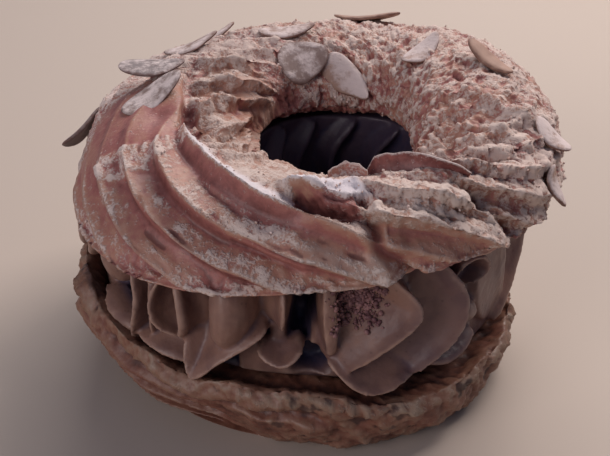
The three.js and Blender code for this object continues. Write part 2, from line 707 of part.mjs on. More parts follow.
/** Height of the bowl under a point, with room for the clearance. */
function bowlUnder(angle, point) {
  const outer = basePoint(angle, 1, 0);
  const inner = basePoint(angle, -1, 0);
  const breadth = outer.clone().sub(inner);
  const share = point.clone().sub(inner).dot(breadth) / breadth.lengthSq();
  return bowlHeight(angle, clamp(2 * share - 1, -1, 1)) + CREAM.coreGap;
}

/** Core of the cream: it fills the bowl and reaches up to the underside of the cap. */
function creamCore() {
  const gap = new THREE.Vector3(0, 0, CREAM.coreGap);
  const rows = [];
  for (let row = 0; row < CREAM.rings; row += 1) {
    const angle = (row * FULL_TURN) / CREAM.rings;
    const floor = around(BASE.floorHeight, angle);
    const topOuter = around(CAP.rimHeight, angle) - CAP.underside - CREAM.coreGap;
    const topInner = around(CAP.lipHeight, angle) - CAP.underside - CREAM.coreGap;
    const points = [
      creamWall(angle, bowlUnder(angle, creamWall(angle, 0))),
      creamWall(angle, lerp(floor, topOuter, CREAM.shoulder)),
      creamWall(angle, topOuter - CREAM.wallTop),
    ];
    for (const turn of CREAM.topTurns) {
      points.push(capPoint(angle, turn, 0).sub(gap));
    }
    points.push(creamHoleWall(angle, topInner - CREAM.holeTop));
    points.push(creamHoleWall(angle, lerp(floor, topInner, CREAM.shoulder)));
    points.push(creamHoleWall(angle, bowlUnder(angle, creamHoleWall(angle, 0))));
    for (const share of CREAM.bottomShares) {
      const plan = creamHoleWall(angle, 0).lerp(creamWall(angle, 0), share);
      points.push(plan.setZ(bowlUnder(angle, plan)));
    }
    rows.push(points);
  }
  return toSolid(ringGeometry(rows));
}

/** One fold of cream, a rib swept along a path of points with a wall normal at each. */
function foldSolid({ points, outward, reach, before, after }) {
  const curve = new THREE.CatmullRomCurve3(points);
  const rows = [];
  for (let step = 0; step <= FOLD.steps; step += 1) {
    const share = step / FOLD.steps;
    const place = curve.getPoint(share);
    const normal = outward(place);
    const side = normal.clone().cross(curve.getTangent(share)).normalize();
    const swell = lerp(FOLD.endSize, 1, Math.sin(Math.PI * share) ** FOLD.roundness);
    const section = FOLD.section.map(([breadth, height]) => {
      const across = (breadth < 0 ? before : after) * breadth * swell;
      const out = height < 0 ? height * FOLD.sink : height * reach * swell;
      return place.clone().addScaledVector(side, across).addScaledVector(normal, out);
    });
    rows.push(section);
  }
  return toSolid(barGeometry(rows));
}

/** Direction away from (or, with sign -1, towards) an upright axis. */
function outwardFrom([x, y], sign = 1) {
  return (place) => {
    const away = new THREE.Vector3(place.x - x, place.y - y, 0);
    return away.normalize().multiplyScalar(sign);
  };
}

/** Folds round the side and back, in a seeded rhythm. */
function backFolds(random) {
  const outward = outwardFrom(CREAM.centre);
  const folds = [];
  for (let angle = BACK_FOLDS.from; angle < BACK_FOLDS.to; angle += BACK_FOLDS.step) {
    const bow = lerp(...BACK_FOLDS.bow, random());
    const foot = bowlHeight(angle, BACK_FOLDS.footAt) + BACK_FOLDS.footGap;
    const middle = (BACK_FOLDS.top + foot) / 2 + BACK_FOLDS.lift * random();
    const heights = [BACK_FOLDS.top, middle, foot];
    const points = heights.map((height, index) => {
      return creamWall(angle + bow * BACK_FOLDS.sway[index], height);
    });
    folds.push(foldSolid({ ...BACK_FOLDS, points, outward }));
  }
  return folds;
}

/** Upright ribs inside the hole, in a seeded rhythm. */
function holeFolds(random) {
  const outward = outwardFrom(CREAM.holeCentre, -1);
  const folds = [];
  for (let index = 0; index < HOLE_FOLDS.count; index += 1) {
    const angle = (index * FULL_TURN) / HOLE_FOLDS.count + HOLE_FOLDS.shift * random();
    const middle = lerp(...HOLE_FOLDS.middle, random());
    const { top, bottom } = HOLE_FOLDS;
    const heights = [top, lerp(bottom, top, middle), bottom];
    const points = heights.map((height, place) => {
      return creamHoleWall(angle + HOLE_FOLDS.sway[place], height);
    });
    folds.push(foldSolid({ ...HOLE_FOLDS, points, outward }));
  }
  return folds;
}

/** All folds: the ones of the front by hand, the rest in a rhythm. */
function creamFolds() {
  const random = seededRandom(FOLD_SEED);
  const outward = outwardFrom(CREAM.centre);
  const front = FRONT_FOLDS.map((fold) => {
    const points = fold.path.map(([angle, height]) => creamWall(angle, height));
    return foldSolid({ ...fold, points, outward });
  });
  return [...front, ...backFolds(random), ...holeFolds(random)];
}

/** Solid of a geometry grown by the clearance, which cuts its neighbour free of it. */
function swollen(geometry) {
  const bare = mergeVertices(geometry, EXACT);
  const { position } = bare.attributes;
  const corners = bare.index.array;
  const points = Array.from({ length: position.count }, (_, index) => {
    return new THREE.Vector3().fromBufferAttribute(position, index);
  });
  const outward = points.map(() => new THREE.Vector3());
  const faces = [];
  for (let first = 0; first < corners.length; first += 3) {
    const face = [...corners.slice(first, first + 3)];
    const triangle = new THREE.Triangle(...face.map((corner) => points[corner]));
    const normal = triangle.getNormal(new THREE.Vector3());
    face.forEach((corner) => outward[corner].add(normal));
    faces.push({ face, normal });
  }
  outward.forEach((direction) => direction.normalize());
  // A sharp edge moves further than a flat face, so that both its faces clear alike.
  const leaning = points.map(() => 1);
  for (const { face, normal } of faces) {
    for (const corner of face) {
      leaning[corner] = Math.min(leaning[corner], normal.dot(outward[corner]));
    }
  }
  points.forEach((point, index) => {
    point.addScaledVector(outward[index], CLEARANCE / Math.max(leaning[index], MOST_LEANING));
    position.setXYZ(index, point.x, point.y, point.z);
  });
  return toSolid(bare);
}

/** The cream: its core and folds, cut free of the two choux halves. */
function creamRing(cap, base) {
  let solid = creamCore();
  for (const fold of creamFolds()) {
    solid = solid.add(fold);
  }
  return solid.subtract(swollen(cap)).subtract(swollen(base));
}

// ---------------------------------------------------------------- assembly

const capGeometry = capBody();
const lowerGeometry = baseGeometry();

const creamGeometry = toGeometry(creamRing(capGeometry, lowerGeometry));
const upperGeometry = toGeometry(topRing(capGeometry));

const pastry = new THREE.Group();
pastry.name = 'paris_brest';
pastry.add(namedMesh('base_ring', lowerGeometry, 0x8a5a3e, 0.85));
pastry.add(namedMesh('cream_ring', creamGeometry, 0x8f6f60, 0.5));
pastry.add(namedMesh('top_ring', upperGeometry, 0x9a6a4c, 0.8));

// The origin lies under the middle of the whole.
const box = new THREE.Box3().setFromObject(pastry, true);
pastry.position.set(-(box.min.x + box.max.x) / 2, -(box.min.y + box.max.y) / 2, -box.min.z);

export default pastry;
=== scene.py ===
"""Looks of a Paris-Brest: a split ring of choux pastry filled with piped praline cream.

Sizes are in millimetres and become metres when a mesh is made. Angles are in degrees:
an angle goes round the ring (0 right, 90 back, 180 left, 270 front), and a turn goes round
the section of the upper half (0 outer rim, 90 top, 180 hole side, -90 underside).
"""

from __future__ import annotations

import logging
import math
from collections.abc import Sequence
from dataclasses import dataclass, field
from enum import Enum
from typing import Any

import bpy
import numpy as np
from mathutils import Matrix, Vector
from mathutils.bvhtree import BVHTree

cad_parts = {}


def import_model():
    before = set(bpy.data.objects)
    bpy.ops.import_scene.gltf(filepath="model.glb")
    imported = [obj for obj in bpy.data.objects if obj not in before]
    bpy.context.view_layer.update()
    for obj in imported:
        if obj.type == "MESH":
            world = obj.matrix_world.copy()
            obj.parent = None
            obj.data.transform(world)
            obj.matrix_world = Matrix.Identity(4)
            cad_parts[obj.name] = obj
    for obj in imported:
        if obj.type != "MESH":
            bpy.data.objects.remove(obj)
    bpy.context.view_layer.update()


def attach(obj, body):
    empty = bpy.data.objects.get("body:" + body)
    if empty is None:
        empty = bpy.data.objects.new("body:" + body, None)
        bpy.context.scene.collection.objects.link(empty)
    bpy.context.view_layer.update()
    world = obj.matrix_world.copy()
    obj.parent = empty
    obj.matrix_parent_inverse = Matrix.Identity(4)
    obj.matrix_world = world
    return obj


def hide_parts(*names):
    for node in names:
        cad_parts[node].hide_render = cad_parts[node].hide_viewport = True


Array = np.ndarray
Numbers = np.ndarray | float
Piece = bpy.types.Object
Pair = tuple[float, float]
Plan = Pair
Places = tuple[Pair, ...]
Triple = tuple[float, float, float]
Colour = Triple
Line = tuple[tuple[float, ...], tuple[float, ...]]
Face = tuple[int, ...]

LOG = logging.getLogger("paris_brest")
MM = 0.001
FULL_TURN = 360.0
TABLE_STEP = 30.0
OFFSET = (-3.7337, -0.3263, 0.0)
BODY = "root"


# ---- numbers and noise


def radians(value: Numbers) -> Array:
    """Degrees to radians."""
    return np.radians(value)


def between(angle: Array, other: Numbers) -> Array:
    """Signed distance from one angle to another, -180 to 180."""
    return (angle - other + 0.5 * FULL_TURN) % FULL_TURN - 0.5 * FULL_TURN


def bump(distance: Array, width: Numbers) -> Array:
    """Smooth bump, 1 at the middle and 0 from one width away."""
    share = np.minimum(np.abs(distance) / width, 1.0)
    return (1.0 - share * share) ** 2


def smooth(value: Array, low: float, high: float) -> Array:
    """Smooth step from 0 at low to 1 at high."""
    share = np.clip((value - low) / (high - low), 0.0, 1.0)
    return share * share * (3.0 - 2.0 * share)


def lerp(low: Numbers, high: Numbers, share: Numbers) -> Array:
    """Straight blend of two values."""
    return low + (high - low) * share


def uneven(angle: Array, turn: Numbers) -> Array:
    """Gentle unevenness of hand-piped dough, about -1 to 1."""
    a, b = radians(angle), radians(turn)
    return (
        0.4 * np.sin(5 * a + 2 * b + 0.7)
        + 0.35 * np.sin(11 * a - 3 * b + 2.1)
        + 0.25 * np.sin(19 * a + 5 * b + 4.4)
    )


def plan_point(centre: Plan, radius: Numbers, angle: Array) -> Array:
    """Points of the plan at a radius and angle from a centre."""
    a = radians(angle)
    return np.stack([centre[0] + radius * np.cos(a), centre[1] + radius * np.sin(a)], -1)


def at_height(plan: Array, height: Array) -> Array:
    """Points of the plan lifted to their heights."""
    return np.concatenate([plan, np.asarray(height, float)[..., None]], -1)


def angle_about(centre: Plan, points: Array) -> Array:
    """Angles of points, seen from a centre of the plan."""
    return np.degrees(np.arctan2(points[:, 1] - centre[1], points[:, 0] - centre[0]))


def rounded(distance: Array, steep: float) -> Array:
    """Round hill, 1 at no distance and 0 further out."""
    return np.sqrt(np.clip(1 - steep * distance * distance, 0, 1))


def bell(distance: Array, wide: float) -> Array:
    """Narrow bell, 1 at no distance and soon 0."""
    return np.exp(-((distance / wide) ** 2))


def curve(knots: Sequence[Array], t: Array) -> Array:
    """Smooth curve through four knots, from the second where t is 0 to the third where it is 1."""
    a, b, c, d = knots
    return b + 0.5 * t * (c - a + t * (2 * a - 5 * b + 4 * c - d + t * (3 * (b - c) + d - a)))


@dataclass(frozen=True)
class Span:
    """Soft stretch of a value, which grows over one range and fades over a later one."""

    grow: Pair
    fade: Pair

    def at(self, value: Array) -> Array:
        """1 inside the stretch and 0 on either side."""
        return smooth(value, *self.grow) * (1 - smooth(value, *self.fade))


@dataclass(frozen=True)
class RingTable:
    """A size with one value every thirty degrees of the ring."""

    values: tuple[float, ...]

    def at(self, angle: Array) -> Array:
        """Size at each angle, on a smooth curve through the table's values."""
        table = np.asarray(self.values)
        place = (np.asarray(angle, float) % FULL_TURN) / TABLE_STEP
        index = np.floor(place).astype(int)
        return curve([table[(index + k) % len(table)] for k in (-1, 0, 1, 2)], place - index)


class Grain:
    """Seeded gradient noise and lumps for many points at once."""

    def __init__(self, seed: int) -> None:
        """Draws the random tables of a seed."""
        rng = np.random.default_rng(seed)
        self.table = rng.permutation(256)
        directions = rng.normal(size=(256, 3))
        self.directions = directions / np.linalg.norm(directions, axis=1, keepdims=True)
        self.spots = rng.random((256, 3))

    def _mixed(self, cell: Array) -> Array:
        """Table index of each integer cell."""
        first = self.table[cell[..., 0] & 255]
        second = self.table[(first + cell[..., 1]) & 255]
        return self.table[(second + cell[..., 2]) & 255]

    def noise(self, points: Array, size: float) -> Array:
        """Gradient noise, about -1 to 1.

        Args:
            points: Places, one row each.
            size: Width of a wave in the same unit.

        Returns:
            The noise at each place.
        """
        scaled = points / size
        cell = np.floor(scaled).astype(int)
        t = scaled - cell
        ease = t * t * t * (t * (6 * t - 15) + 10)
        total = np.zeros(len(points))
        for corner in np.ndindex(2, 2, 2):
            step = np.array(corner)
            slope = self.directions[self._mixed(cell + step)]
            weight = np.prod(np.where(step == 1, ease, 1 - ease), axis=1)
            total += weight * np.sum(slope * (t - step), axis=1)
        return 1.6 * total

    def fractal(self, points: Array, size: float, octaves: int = 3) -> Array:
        """Sum of noises, each half as wide and half as strong as the one before."""
        total = np.zeros(len(points))
        for octave in range(octaves):
            total += self.noise(points + 17.3 * octave, size / 2**octave) / 2**octave
        return total

    def lumps(self, points: Array, size: float) -> tuple[Array, Array]:
        """Distances to the two nearest scattered spots.

        Args:
            points: Places, one row each.
            size: Mean distance between spots.

        Returns:
            Nearest and second nearest distance, in shares of size.
        """
        scaled = points / size
        cell = np.floor(scaled).astype(int)
        near = np.full(len(points), 9.0)
        second = np.full(len(points), 9.0)
        for step in np.ndindex(3, 3, 3):
            other = cell + np.array(step) - 1
            spot = other + self.spots[self._mixed(other)]
            far = np.linalg.norm(scaled - spot, axis=1)
            second = np.minimum(second, np.maximum(near, far))
            near = np.minimum(near, far)
        return near, second


# ---- meshes


def to_metres(points: Array) -> Array:
    """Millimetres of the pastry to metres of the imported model's frame."""
    return (points + np.array(OFFSET)) * MM


def to_millimetres(points: Array) -> Array:
    """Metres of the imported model's frame to millimetres of the pastry."""
    return points / MM - np.array(OFFSET)


@dataclass
class Shell:
    """Points in millimetres, faces and named values of one mesh."""

    points: Array
    faces: list[Face]
    layers: dict[str, Array] = field(default_factory=dict)

    def to_object(self, name: str) -> Piece:
        """Makes the Blender object.

        Args:
            name: Name of the piece.

        Returns:
            The object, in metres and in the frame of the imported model.
        """
        mesh = bpy.data.meshes.new(name)
        mesh.from_pydata(to_metres(self.points), [], self.faces)
        mesh.validate()
        for label, values in self.layers.items():
            layer = mesh.attributes.new(label, "FLOAT", "POINT")
            layer.data.foreach_set("value", np.asarray(values, np.float32).ravel())
        mesh.shade_smooth()
        piece = bpy.data.objects.new(name, mesh)
        bpy.context.scene.collection.objects.link(piece)
        return piece


def join_shells(shells: Sequence[Shell]) -> Shell:
    """Joins shells into one.

    Args:
        shells: Shells with the same layers.

    Returns:
        One shell that holds them all.
    """
    points = np.concatenate([shell.points for shell in shells])
    faces: list[Face] = []
    start = 0
    for shell in shells:
        faces += [tuple(index + start for index in face) for face in shell.faces]
        start += len(shell.points)
    labels = shells[0].layers
    layers = {k: np.concatenate([shell.layers[k] for shell in shells]) for k in labels}
    return Shell(points, faces, layers)


def ring_faces(rows: int, columns: int, shift: int = 0) -> list[Face]:
    """Quads of a closed ring of closed sections.

    Args:
        rows: Sections round the ring.
        columns: Points of a section.
        shift: Columns by which the last row meets the first.

    Returns:
        The faces, facing out where the section's points run clockwise.
    """
    row, column = np.meshgrid(np.arange(rows), np.arange(columns), indexing="ij")
    after = (row + 1) % rows
    moved = np.where(after == 0, shift, 0)
    right = (column + 1) % columns
    a = row * columns + column
    b = row * columns + right
    c = after * columns + (column + moved) % columns
    d = after * columns + (right + moved) % columns
    return list(map(tuple, np.stack([a, b, d, c], -1).reshape(-1, 4).tolist()))


def bar_faces(rows: int, columns: int) -> list[Face]:
    """Quads of a bar of closed sections, with an end face at each end."""
    row, column = np.meshgrid(np.arange(rows - 1), np.arange(columns), indexing="ij")
    right = (column + 1) % columns
    a, b = row * columns + column, row * columns + right
    quads = np.stack([a, b, b + columns, a + columns], -1).reshape(-1, 4)
    last = (rows - 1) * columns
    ends = [tuple(range(columns - 1, -1, -1)), tuple(range(last, last + columns))]
    return list(map(tuple, quads.tolist())) + ends


def outward(shell: Shell) -> Shell:
    """Turns all faces of a closed shell round if they point inwards."""
    volume = 0.0
    for face in shell.faces:
        a = shell.points[face[0]]
        for left, right in zip(face[1:-1], face[2:]):
            volume += float(np.dot(a, np.cross(shell.points[left], shell.points[right])))
    if volume < 0:
        shell.faces = [face[::-1] for face in shell.faces]
    return shell


def topside_up(shell: Shell) -> Shell:
    """Turns all faces of a ring round if its highest one points down."""
    highest = int(np.argmax(shell.points[:, 2]))
    face = next(face for face in shell.faces if highest in face)
    a, b, c = (shell.points[index] for index in face[:3])
    if np.cross(b - a, c - a)[2] < 0:
        shell.faces = [quad[::-1] for quad in shell.faces]
    return shell


def read_values(source: Any, label: str, width: int) -> Array:
    """Values of a mesh's own list, width numbers in each row."""
    values = np.empty(width * len(source), np.float32)
    source.foreach_get(label, values)
    return values.reshape(-1, width)


def read_layer(piece: Piece, label: str) -> Array:
    """Values of a named layer of a piece."""
    return read_values(piece.data.attributes[label].data, "value", 1)[:, 0]


def mesh_points(piece: Piece) -> Array:
    """Vertices of a piece in millimetres."""
    return to_millimetres(read_values(piece.data.vertices, "co", 3).astype(float))


def mesh_normals(piece: Piece) -> Array:
    """Vertex normals of a piece."""
    return read_values(piece.data.vertex_normals, "vector", 3).astype(float)


def set_points(piece: Piece, points: Array) -> None:
    """Moves the vertices of a piece to places in millimetres."""
    piece.data.vertices.foreach_set("co", to_metres(points).astype(np.float32).ravel())
    piece.data.update()


def apply_modifier(piece: Piece, kind: str, **settings: Any) -> None:
    """Adds a modifier, applies it and leaves the plain mesh.

    Args:
        piece: Object to change.
        kind: Modifier type.
        **settings: Values of the modifier.
    """
    modifier = piece.modifiers.new(kind.lower(), kind)
    for key, value in settings.items():
        setattr(modifier, key, value)
    graph = bpy.context.evaluated_depsgraph_get()
    shaped = bpy.data.meshes.new_from_object(piece.evaluated_get(graph))
    piece.modifiers.clear()
    piece.data = shaped


# ---- shader expressions


class Value:
    """A socket of a material in an expression; operators add Math nodes."""

    def __init__(self, finish: Material, socket: bpy.types.NodeSocket) -> None:
        """Wraps a socket."""
        self.finish = finish
        self.socket = socket

    def _math(self, operation: str, first: Any, second: Any) -> Value:
        """Adds a Math node of two operands."""
        settings = {"operation": operation}
        return self.finish.node("ShaderNodeMath", settings, {0: first, 1: second})

    def __add__(self, other: Any) -> Value:
        """Sum."""
        return self._math("ADD", self, other)

    __radd__ = __add__

    def __sub__(self, other: Any) -> Value:
        """Difference."""
        return self._math("SUBTRACT", self, other)

    def __rsub__(self, other: Any) -> Value:
        """Difference from a number."""
        return self._math("SUBTRACT", other, self)

    def __mul__(self, other: Any) -> Value:
        """Product."""
        return self._math("MULTIPLY", self, other)

    __rmul__ = __mul__

    def steps(self, low: float, high: float) -> Value:
        """Smooth step of this value from 0 at low to 1 at high."""
        sockets = {"Value": self, "From Min": low, "From Max": high}
        return self.finish.node("ShaderNodeMapRange", {"interpolation_type": "SMOOTHSTEP"}, sockets)


class Material:
    """One material and the nodes that feed its surface."""

    def __init__(self, name: str) -> None:
        """Makes an empty material with its surface shader."""
        self.material = bpy.data.materials.new(name)
        self.material.use_nodes = True
        self.tree = self.material.node_tree
        self.surface = self.tree.nodes["Principled BSDF"]

    def _feed(self, socket: bpy.types.NodeSocket, value: Any) -> None:
        """Links or sets one input."""
        if isinstance(value, Value):
            self.tree.links.new(value.socket, socket)
        elif isinstance(value, tuple) and socket.type == "RGBA":
            socket.default_value = (*value, 1.0)
        else:
            socket.default_value = value

    def node(
        self, kind: str, settings: dict[str, Any], sockets: dict[Any, Any], out: Any = 0
    ) -> Value:
        """Adds any node.

        Args:
            kind: Node type.
            settings: Attributes of the node, set first; "stops" fills a colour ramp.
            sockets: Values or links by input name or number.
            out: Output that the result reads.

        Returns:
            The output as a value for expressions.
        """
        made = self.tree.nodes.new(kind)
        for key, value in settings.items():
            if key == "stops":
                self._fill_ramp(made.color_ramp, value)
            else:
                setattr(made, key, value)
        for key, value in sockets.items():
            self._feed(made.inputs[key], value)
        return Value(self, made.outputs[out])

    @staticmethod
    def _fill_ramp(ramp: bpy.types.ColorRamp, stops: Sequence[tuple[float, Colour]]) -> None:
        """Gives a colour ramp its stops."""
        for index, (place, colour) in enumerate(stops):
            stop = ramp.elements[index] if index < 2 else ramp.elements.new(place)
            stop.position = place
            stop.color = (*colour, 1.0)

    def place(self) -> Value:
        """Place on the piece, in metres."""
        return self.node("ShaderNodeTexCoord", {}, {}, "Object")

    def layer(self, name: str) -> Value:
        """Value painted on the mesh."""
        return self.node("ShaderNodeAttribute", {"attribute_name": name}, {}, "Fac")

    def noise(self, size: float, detail: float = 3.0, rough: float = 0.55) -> Value:
        """Noise with waves of a size in millimetres, 0 to 1."""
        sockets = {"Vector": self.place(), "Scale": 1.0 / (size * MM)}
        sockets |= {"Detail": detail, "Roughness": rough}
        return self.node("ShaderNodeTexNoise", {}, sockets, 0)

    def cells(self, size: float) -> Value:
        """Distance to scattered spots a size in millimetres apart."""
        sockets = {"Vector": self.place(), "Scale": 1.0 / (size * MM)}
        return self.node("ShaderNodeTexVoronoi", {}, sockets, "Distance")

    def ramp(self, value: Value, stops: Sequence[tuple[float, Colour]]) -> Value:
        """Colour ramp of a value."""
        return self.node("ShaderNodeValToRGB", {"stops": stops}, {"Fac": value}, "Color")

    def mix(self, share: Any, first: Any, second: Any) -> Value:
        """Blend of two colours."""
        sockets = {0: share, 6: first, 7: second}
        return self.node("ShaderNodeMix", {"data_type": "RGBA"}, sockets, 2)

    def upward(self) -> Value:
        """How far the surface faces up, -1 to 1."""
        normal = self.node("ShaderNodeNewGeometry", {}, {}, "Normal")
        return self.node("ShaderNodeSeparateXYZ", {}, {0: normal}, "Z")

    def relief(self, height: Value, depth: float) -> Value:
        """Normal changed by a height from 0 to 1, where 1 is depth in millimetres."""
        return self.node("ShaderNodeBump", {}, {"Distance": depth * MM, "Height": height}, "Normal")

    def finish(self, **inputs: Any) -> bpy.types.Material:
        """Feeds the surface shader by input name, with _ for a space."""
        for key, value in inputs.items():
            self._feed(self.surface.inputs[key.replace("_", " ")], value)
        return self.material


class Slot(Enum):
    """Material slots of the record."""

    BASE = "base_choux"
    CREAM = "praline_cream"
    TOP = "top_choux"
    ALMOND = "almond_flakes"
    NUT = "nut_crumbs"
    SUGAR = "icing_sugar"


def place_piece(piece: Piece, slot: Slot, node: str, material: bpy.types.Material) -> None:
    """Gives a piece its material and body, and hides the solid that it stands for.

    Args:
        piece: The new object.
        slot: Its slot of the record; not used.
        node: Solid that it replaces.
        material: Its finish.
    """
    piece.data.materials.clear()
    piece.data.materials.append(material)
    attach(piece, BODY)
    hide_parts(node)
    LOG.info("%s: %d faces for %s", piece.name, len(piece.data.polygons), node)


def standing_out(piece: Piece, rounds: int, full: float) -> Array:
    """How far each vertex stands out from its surroundings.

    Args:
        piece: A piece with its final form.
        rounds: How many rings of neighbours count as its surroundings.
        full: Millimetres that count as a full crest or crease.

    Returns:
        1 on full crests, -1 in full creases.
    """
    points = mesh_points(piece)
    count = len(points)
    edges = np.empty(2 * len(piece.data.edges), np.int32)
    piece.data.edges.foreach_get("vertices", edges)
    ends = np.concatenate([edges[::2], edges[1::2]])
    others = np.concatenate([edges[1::2], edges[::2]])
    shares = np.bincount(ends, minlength=count)[:, None]
    soft = points.copy()
    for _ in range(rounds):
        around = np.stack([np.bincount(ends, soft[others, axis], count) for axis in range(3)], 1)
        soft = 0.3 * soft + 0.7 * around / shares
    return np.clip(np.sum((points - soft) * mesh_normals(piece), axis=1) / full, -1, 1)


def add_layers(piece: Piece, layers: dict[str, Array]) -> None:
    """Stores named layers with a value for each vertex."""
    for label, values in layers.items():
        layer = piece.data.attributes.new(label, "FLOAT", "POINT")
        layer.data.foreach_set("value", values.astype(np.float32))


# ---- finishes


@dataclass(frozen=True)
class CrustFinish:
    """Baked choux: red-brown faces, tan crumb, dark pits and dusted sugar; the pit colour also
    paints shade into creases and recesses.
    """

    name: str
    dark: Colour = (0.140, 0.044, 0.040)
    face: Colour = (0.330, 0.124, 0.106)
    golden: Colour = (0.395, 0.200, 0.140)
    crumb: Colour = (0.430, 0.290, 0.230)
    # Dark of the pits, also painted shade in creases and recesses.
    pit_and_shade: Colour = (0.150, 0.064, 0.052)
    sugar: Colour = (0.640, 0.535, 0.475)
    sugar_cool: Colour = (0.760, 0.730, 0.760)

    def build(self) -> bpy.types.Material:
        """Makes the material; it reads the layers toast, sugar and cool, and the pit layer, which
        darkens real pits and paints shade into creases and recesses.
        """
        m = Material(self.name)
        toast = m.layer("toast") + (m.noise(5.0, 4.0) - 0.5) * 0.6
        toast = toast + (m.noise(1.0, 4.0, 0.7) - 0.5) * 0.5
        tones = [(0.0, self.crumb), (0.34, self.golden), (0.60, self.face), (0.95, self.dark)]
        crust = m.ramp(toast, tones)
        grain = m.noise(1.4, 5.0, 0.6)
        speck = m.noise(0.45, 2.0)
        dust = m.layer("sugar") + (grain - 0.5) * 1.3 + (speck - 0.5) * 1.3
        mask = dust.steps(0.28, 0.82)
        white = m.mix(m.layer("cool"), self.sugar, self.sugar_cool)
        # Real pits and painted shade in creases and recesses take the pit colour.
        sunk = (m.layer("pit_and_shade") + (speck - 0.5) * 0.5).steps(0.3, 0.9)
        pitted = m.mix(sunk * 0.8, crust, self.pit_and_shade)
        colour = m.mix(mask * 0.80, pitted, white)
        height = grain * mask * 0.7 + speck * mask * 0.4 + m.noise(0.8, 4.0) * 0.45
        return m.finish(
            Base_Color=colour,
            Roughness=0.46 + mask * 0.42 + (m.noise(2.5) - 0.5) * 0.2,
            Normal=m.relief(height, 0.20),
            Specular_IOR_Level=0.4,
        )


# The lower half's crust: the upper crust's tones made duller and, the sugar too, about half as
# bright; the darkening is painted shade under the upper half.
SHADED_BASE_FINISH = CrustFinish(
    "choux_base_shaded",
    dark=(0.060, 0.022, 0.016),
    face=(0.175, 0.068, 0.044),
    golden=(0.235, 0.120, 0.078),
    crumb=(0.270, 0.190, 0.135),
    pit_and_shade=(0.050, 0.026, 0.024),
    sugar=(0.400, 0.300, 0.240),
    sugar_cool=(0.420, 0.380, 0.400),
)


@dataclass(frozen=True)
class CreamFinish:
    """Praline cream: satin mauve-brown with fine nut specks, a painted highlight on the crests of
    its folds and painted shade in its creases and crevices.
    """

    name: str
    light: Colour = (0.245, 0.134, 0.100)
    shade: Colour = (0.150, 0.078, 0.066)
    speck: Colour = (0.090, 0.040, 0.034)
    # Painted shade: dark blue-violet for crevices, creases and the shaded right folds.
    painted_shade_tint: Colour = (0.038, 0.032, 0.066)
    # Painted highlight: pale tan for the crests of the folds.
    rim: Colour = (0.400, 0.260, 0.200)

    def build(self) -> bpy.types.Material:
        """Makes the material; it reads a layer of painted shade for crevices and the right folds,
        and the edge layer, how far the surface stands out, for a painted highlight on crests and
        painted shade in creases.
        """
        m = Material(self.name)
        body = m.mix(m.noise(9.0, 3.0).steps(0.35, 0.65), self.shade, self.light)
        dots = 1.0 - m.cells(1.5).steps(0.10, 0.22)
        dotted = m.mix(dots * m.noise(4.0).steps(0.45, 0.6) * 0.5, body, self.speck)
        edge = m.layer("edge")
        # Painted highlight on the crests of the folds.
        lit = m.mix(edge.steps(0.15, 1.0) * 0.6, dotted, self.rim)
        # Painted shade in crevices, on the right folds and in creases.
        painted_shade_share = m.layer("painted_shade").steps(0.35, 1.0) * 0.85 + edge.steps(-0.1, -1.0) * 0.45
        colour = m.mix(painted_shade_share, lit, self.painted_shade_tint)
        height = m.noise(0.7, 3.0) * 0.5 + m.noise(2.6, 2.0) * 0.5
        return m.finish(
            Base_Color=colour,
            Roughness=0.46 + (m.noise(3.0) - 0.5) * 0.2,
            Normal=m.relief(height, 0.12),
            Specular_IOR_Level=0.45,
            Subsurface_Weight=0.12,
            Subsurface_Radius=(0.003, 0.0018, 0.0012),
        )


@dataclass(frozen=True)
class AlmondFinish:
    """Flaked almond: grey-beige flesh, brown skin at the edge and sugar on top."""

    name: str
    flesh: Colour = (0.400, 0.250, 0.185)
    grey: Colour = (0.200, 0.165, 0.160)
    skin: Colour = (0.120, 0.050, 0.036)
    sugar: Colour = (0.700, 0.600, 0.570)

    def build(self) -> bpy.types.Material:
        """Makes the material; it reads the layers edge, sugar and tone."""
        m = Material(self.name)
        body = m.mix(m.layer("tone"), self.flesh, self.grey)
        toasted = m.mix((m.noise(3.0) - 0.2).steps(0.2, 0.7) * 0.5, body, self.skin)
        edge = (m.layer("edge") + (m.noise(1.8) - 0.5) * 0.5).steps(0.86, 1.05) * 0.7
        skinned = m.mix(edge, toasted, self.skin)
        grain = m.noise(1.0, 5.0, 0.65)
        patches = (m.noise(3.2, 3.0) - 0.5) * 1.4 + (grain - 0.5) * 0.8
        dust = (m.layer("sugar") * m.upward().steps(-0.2, 0.6) + patches).steps(0.30, 0.80)
        colour = m.mix(dust * (1.0 - edge * 0.6) * 0.85, skinned, self.sugar)
        return m.finish(
            Base_Color=colour,
            Roughness=0.62 + dust * 0.3,
            Normal=m.relief(grain * dust + m.noise(0.6) * 0.3, 0.18),
            Specular_IOR_Level=0.3,
        )


@dataclass(frozen=True)
class CrumbFinish:
    """Small loose stuff of two tones, with a rough skin."""

    name: str
    first: Colour
    second: Colour
    roughness: float
    patch: float = 1.6

    def build(self) -> bpy.types.Material:
        """Makes the material."""
        m = Material(self.name)
        colour = m.mix(m.noise(self.patch, 4.0).steps(0.4, 0.62), self.first, self.second)
        return m.finish(
            Base_Color=colour,
            Roughness=self.roughness + (m.noise(0.6) - 0.5) * 0.15,
            Normal=m.relief(m.noise(0.35), 0.08),
            Specular_IOR_Level=0.3,
        )


# ---- form of the upper half


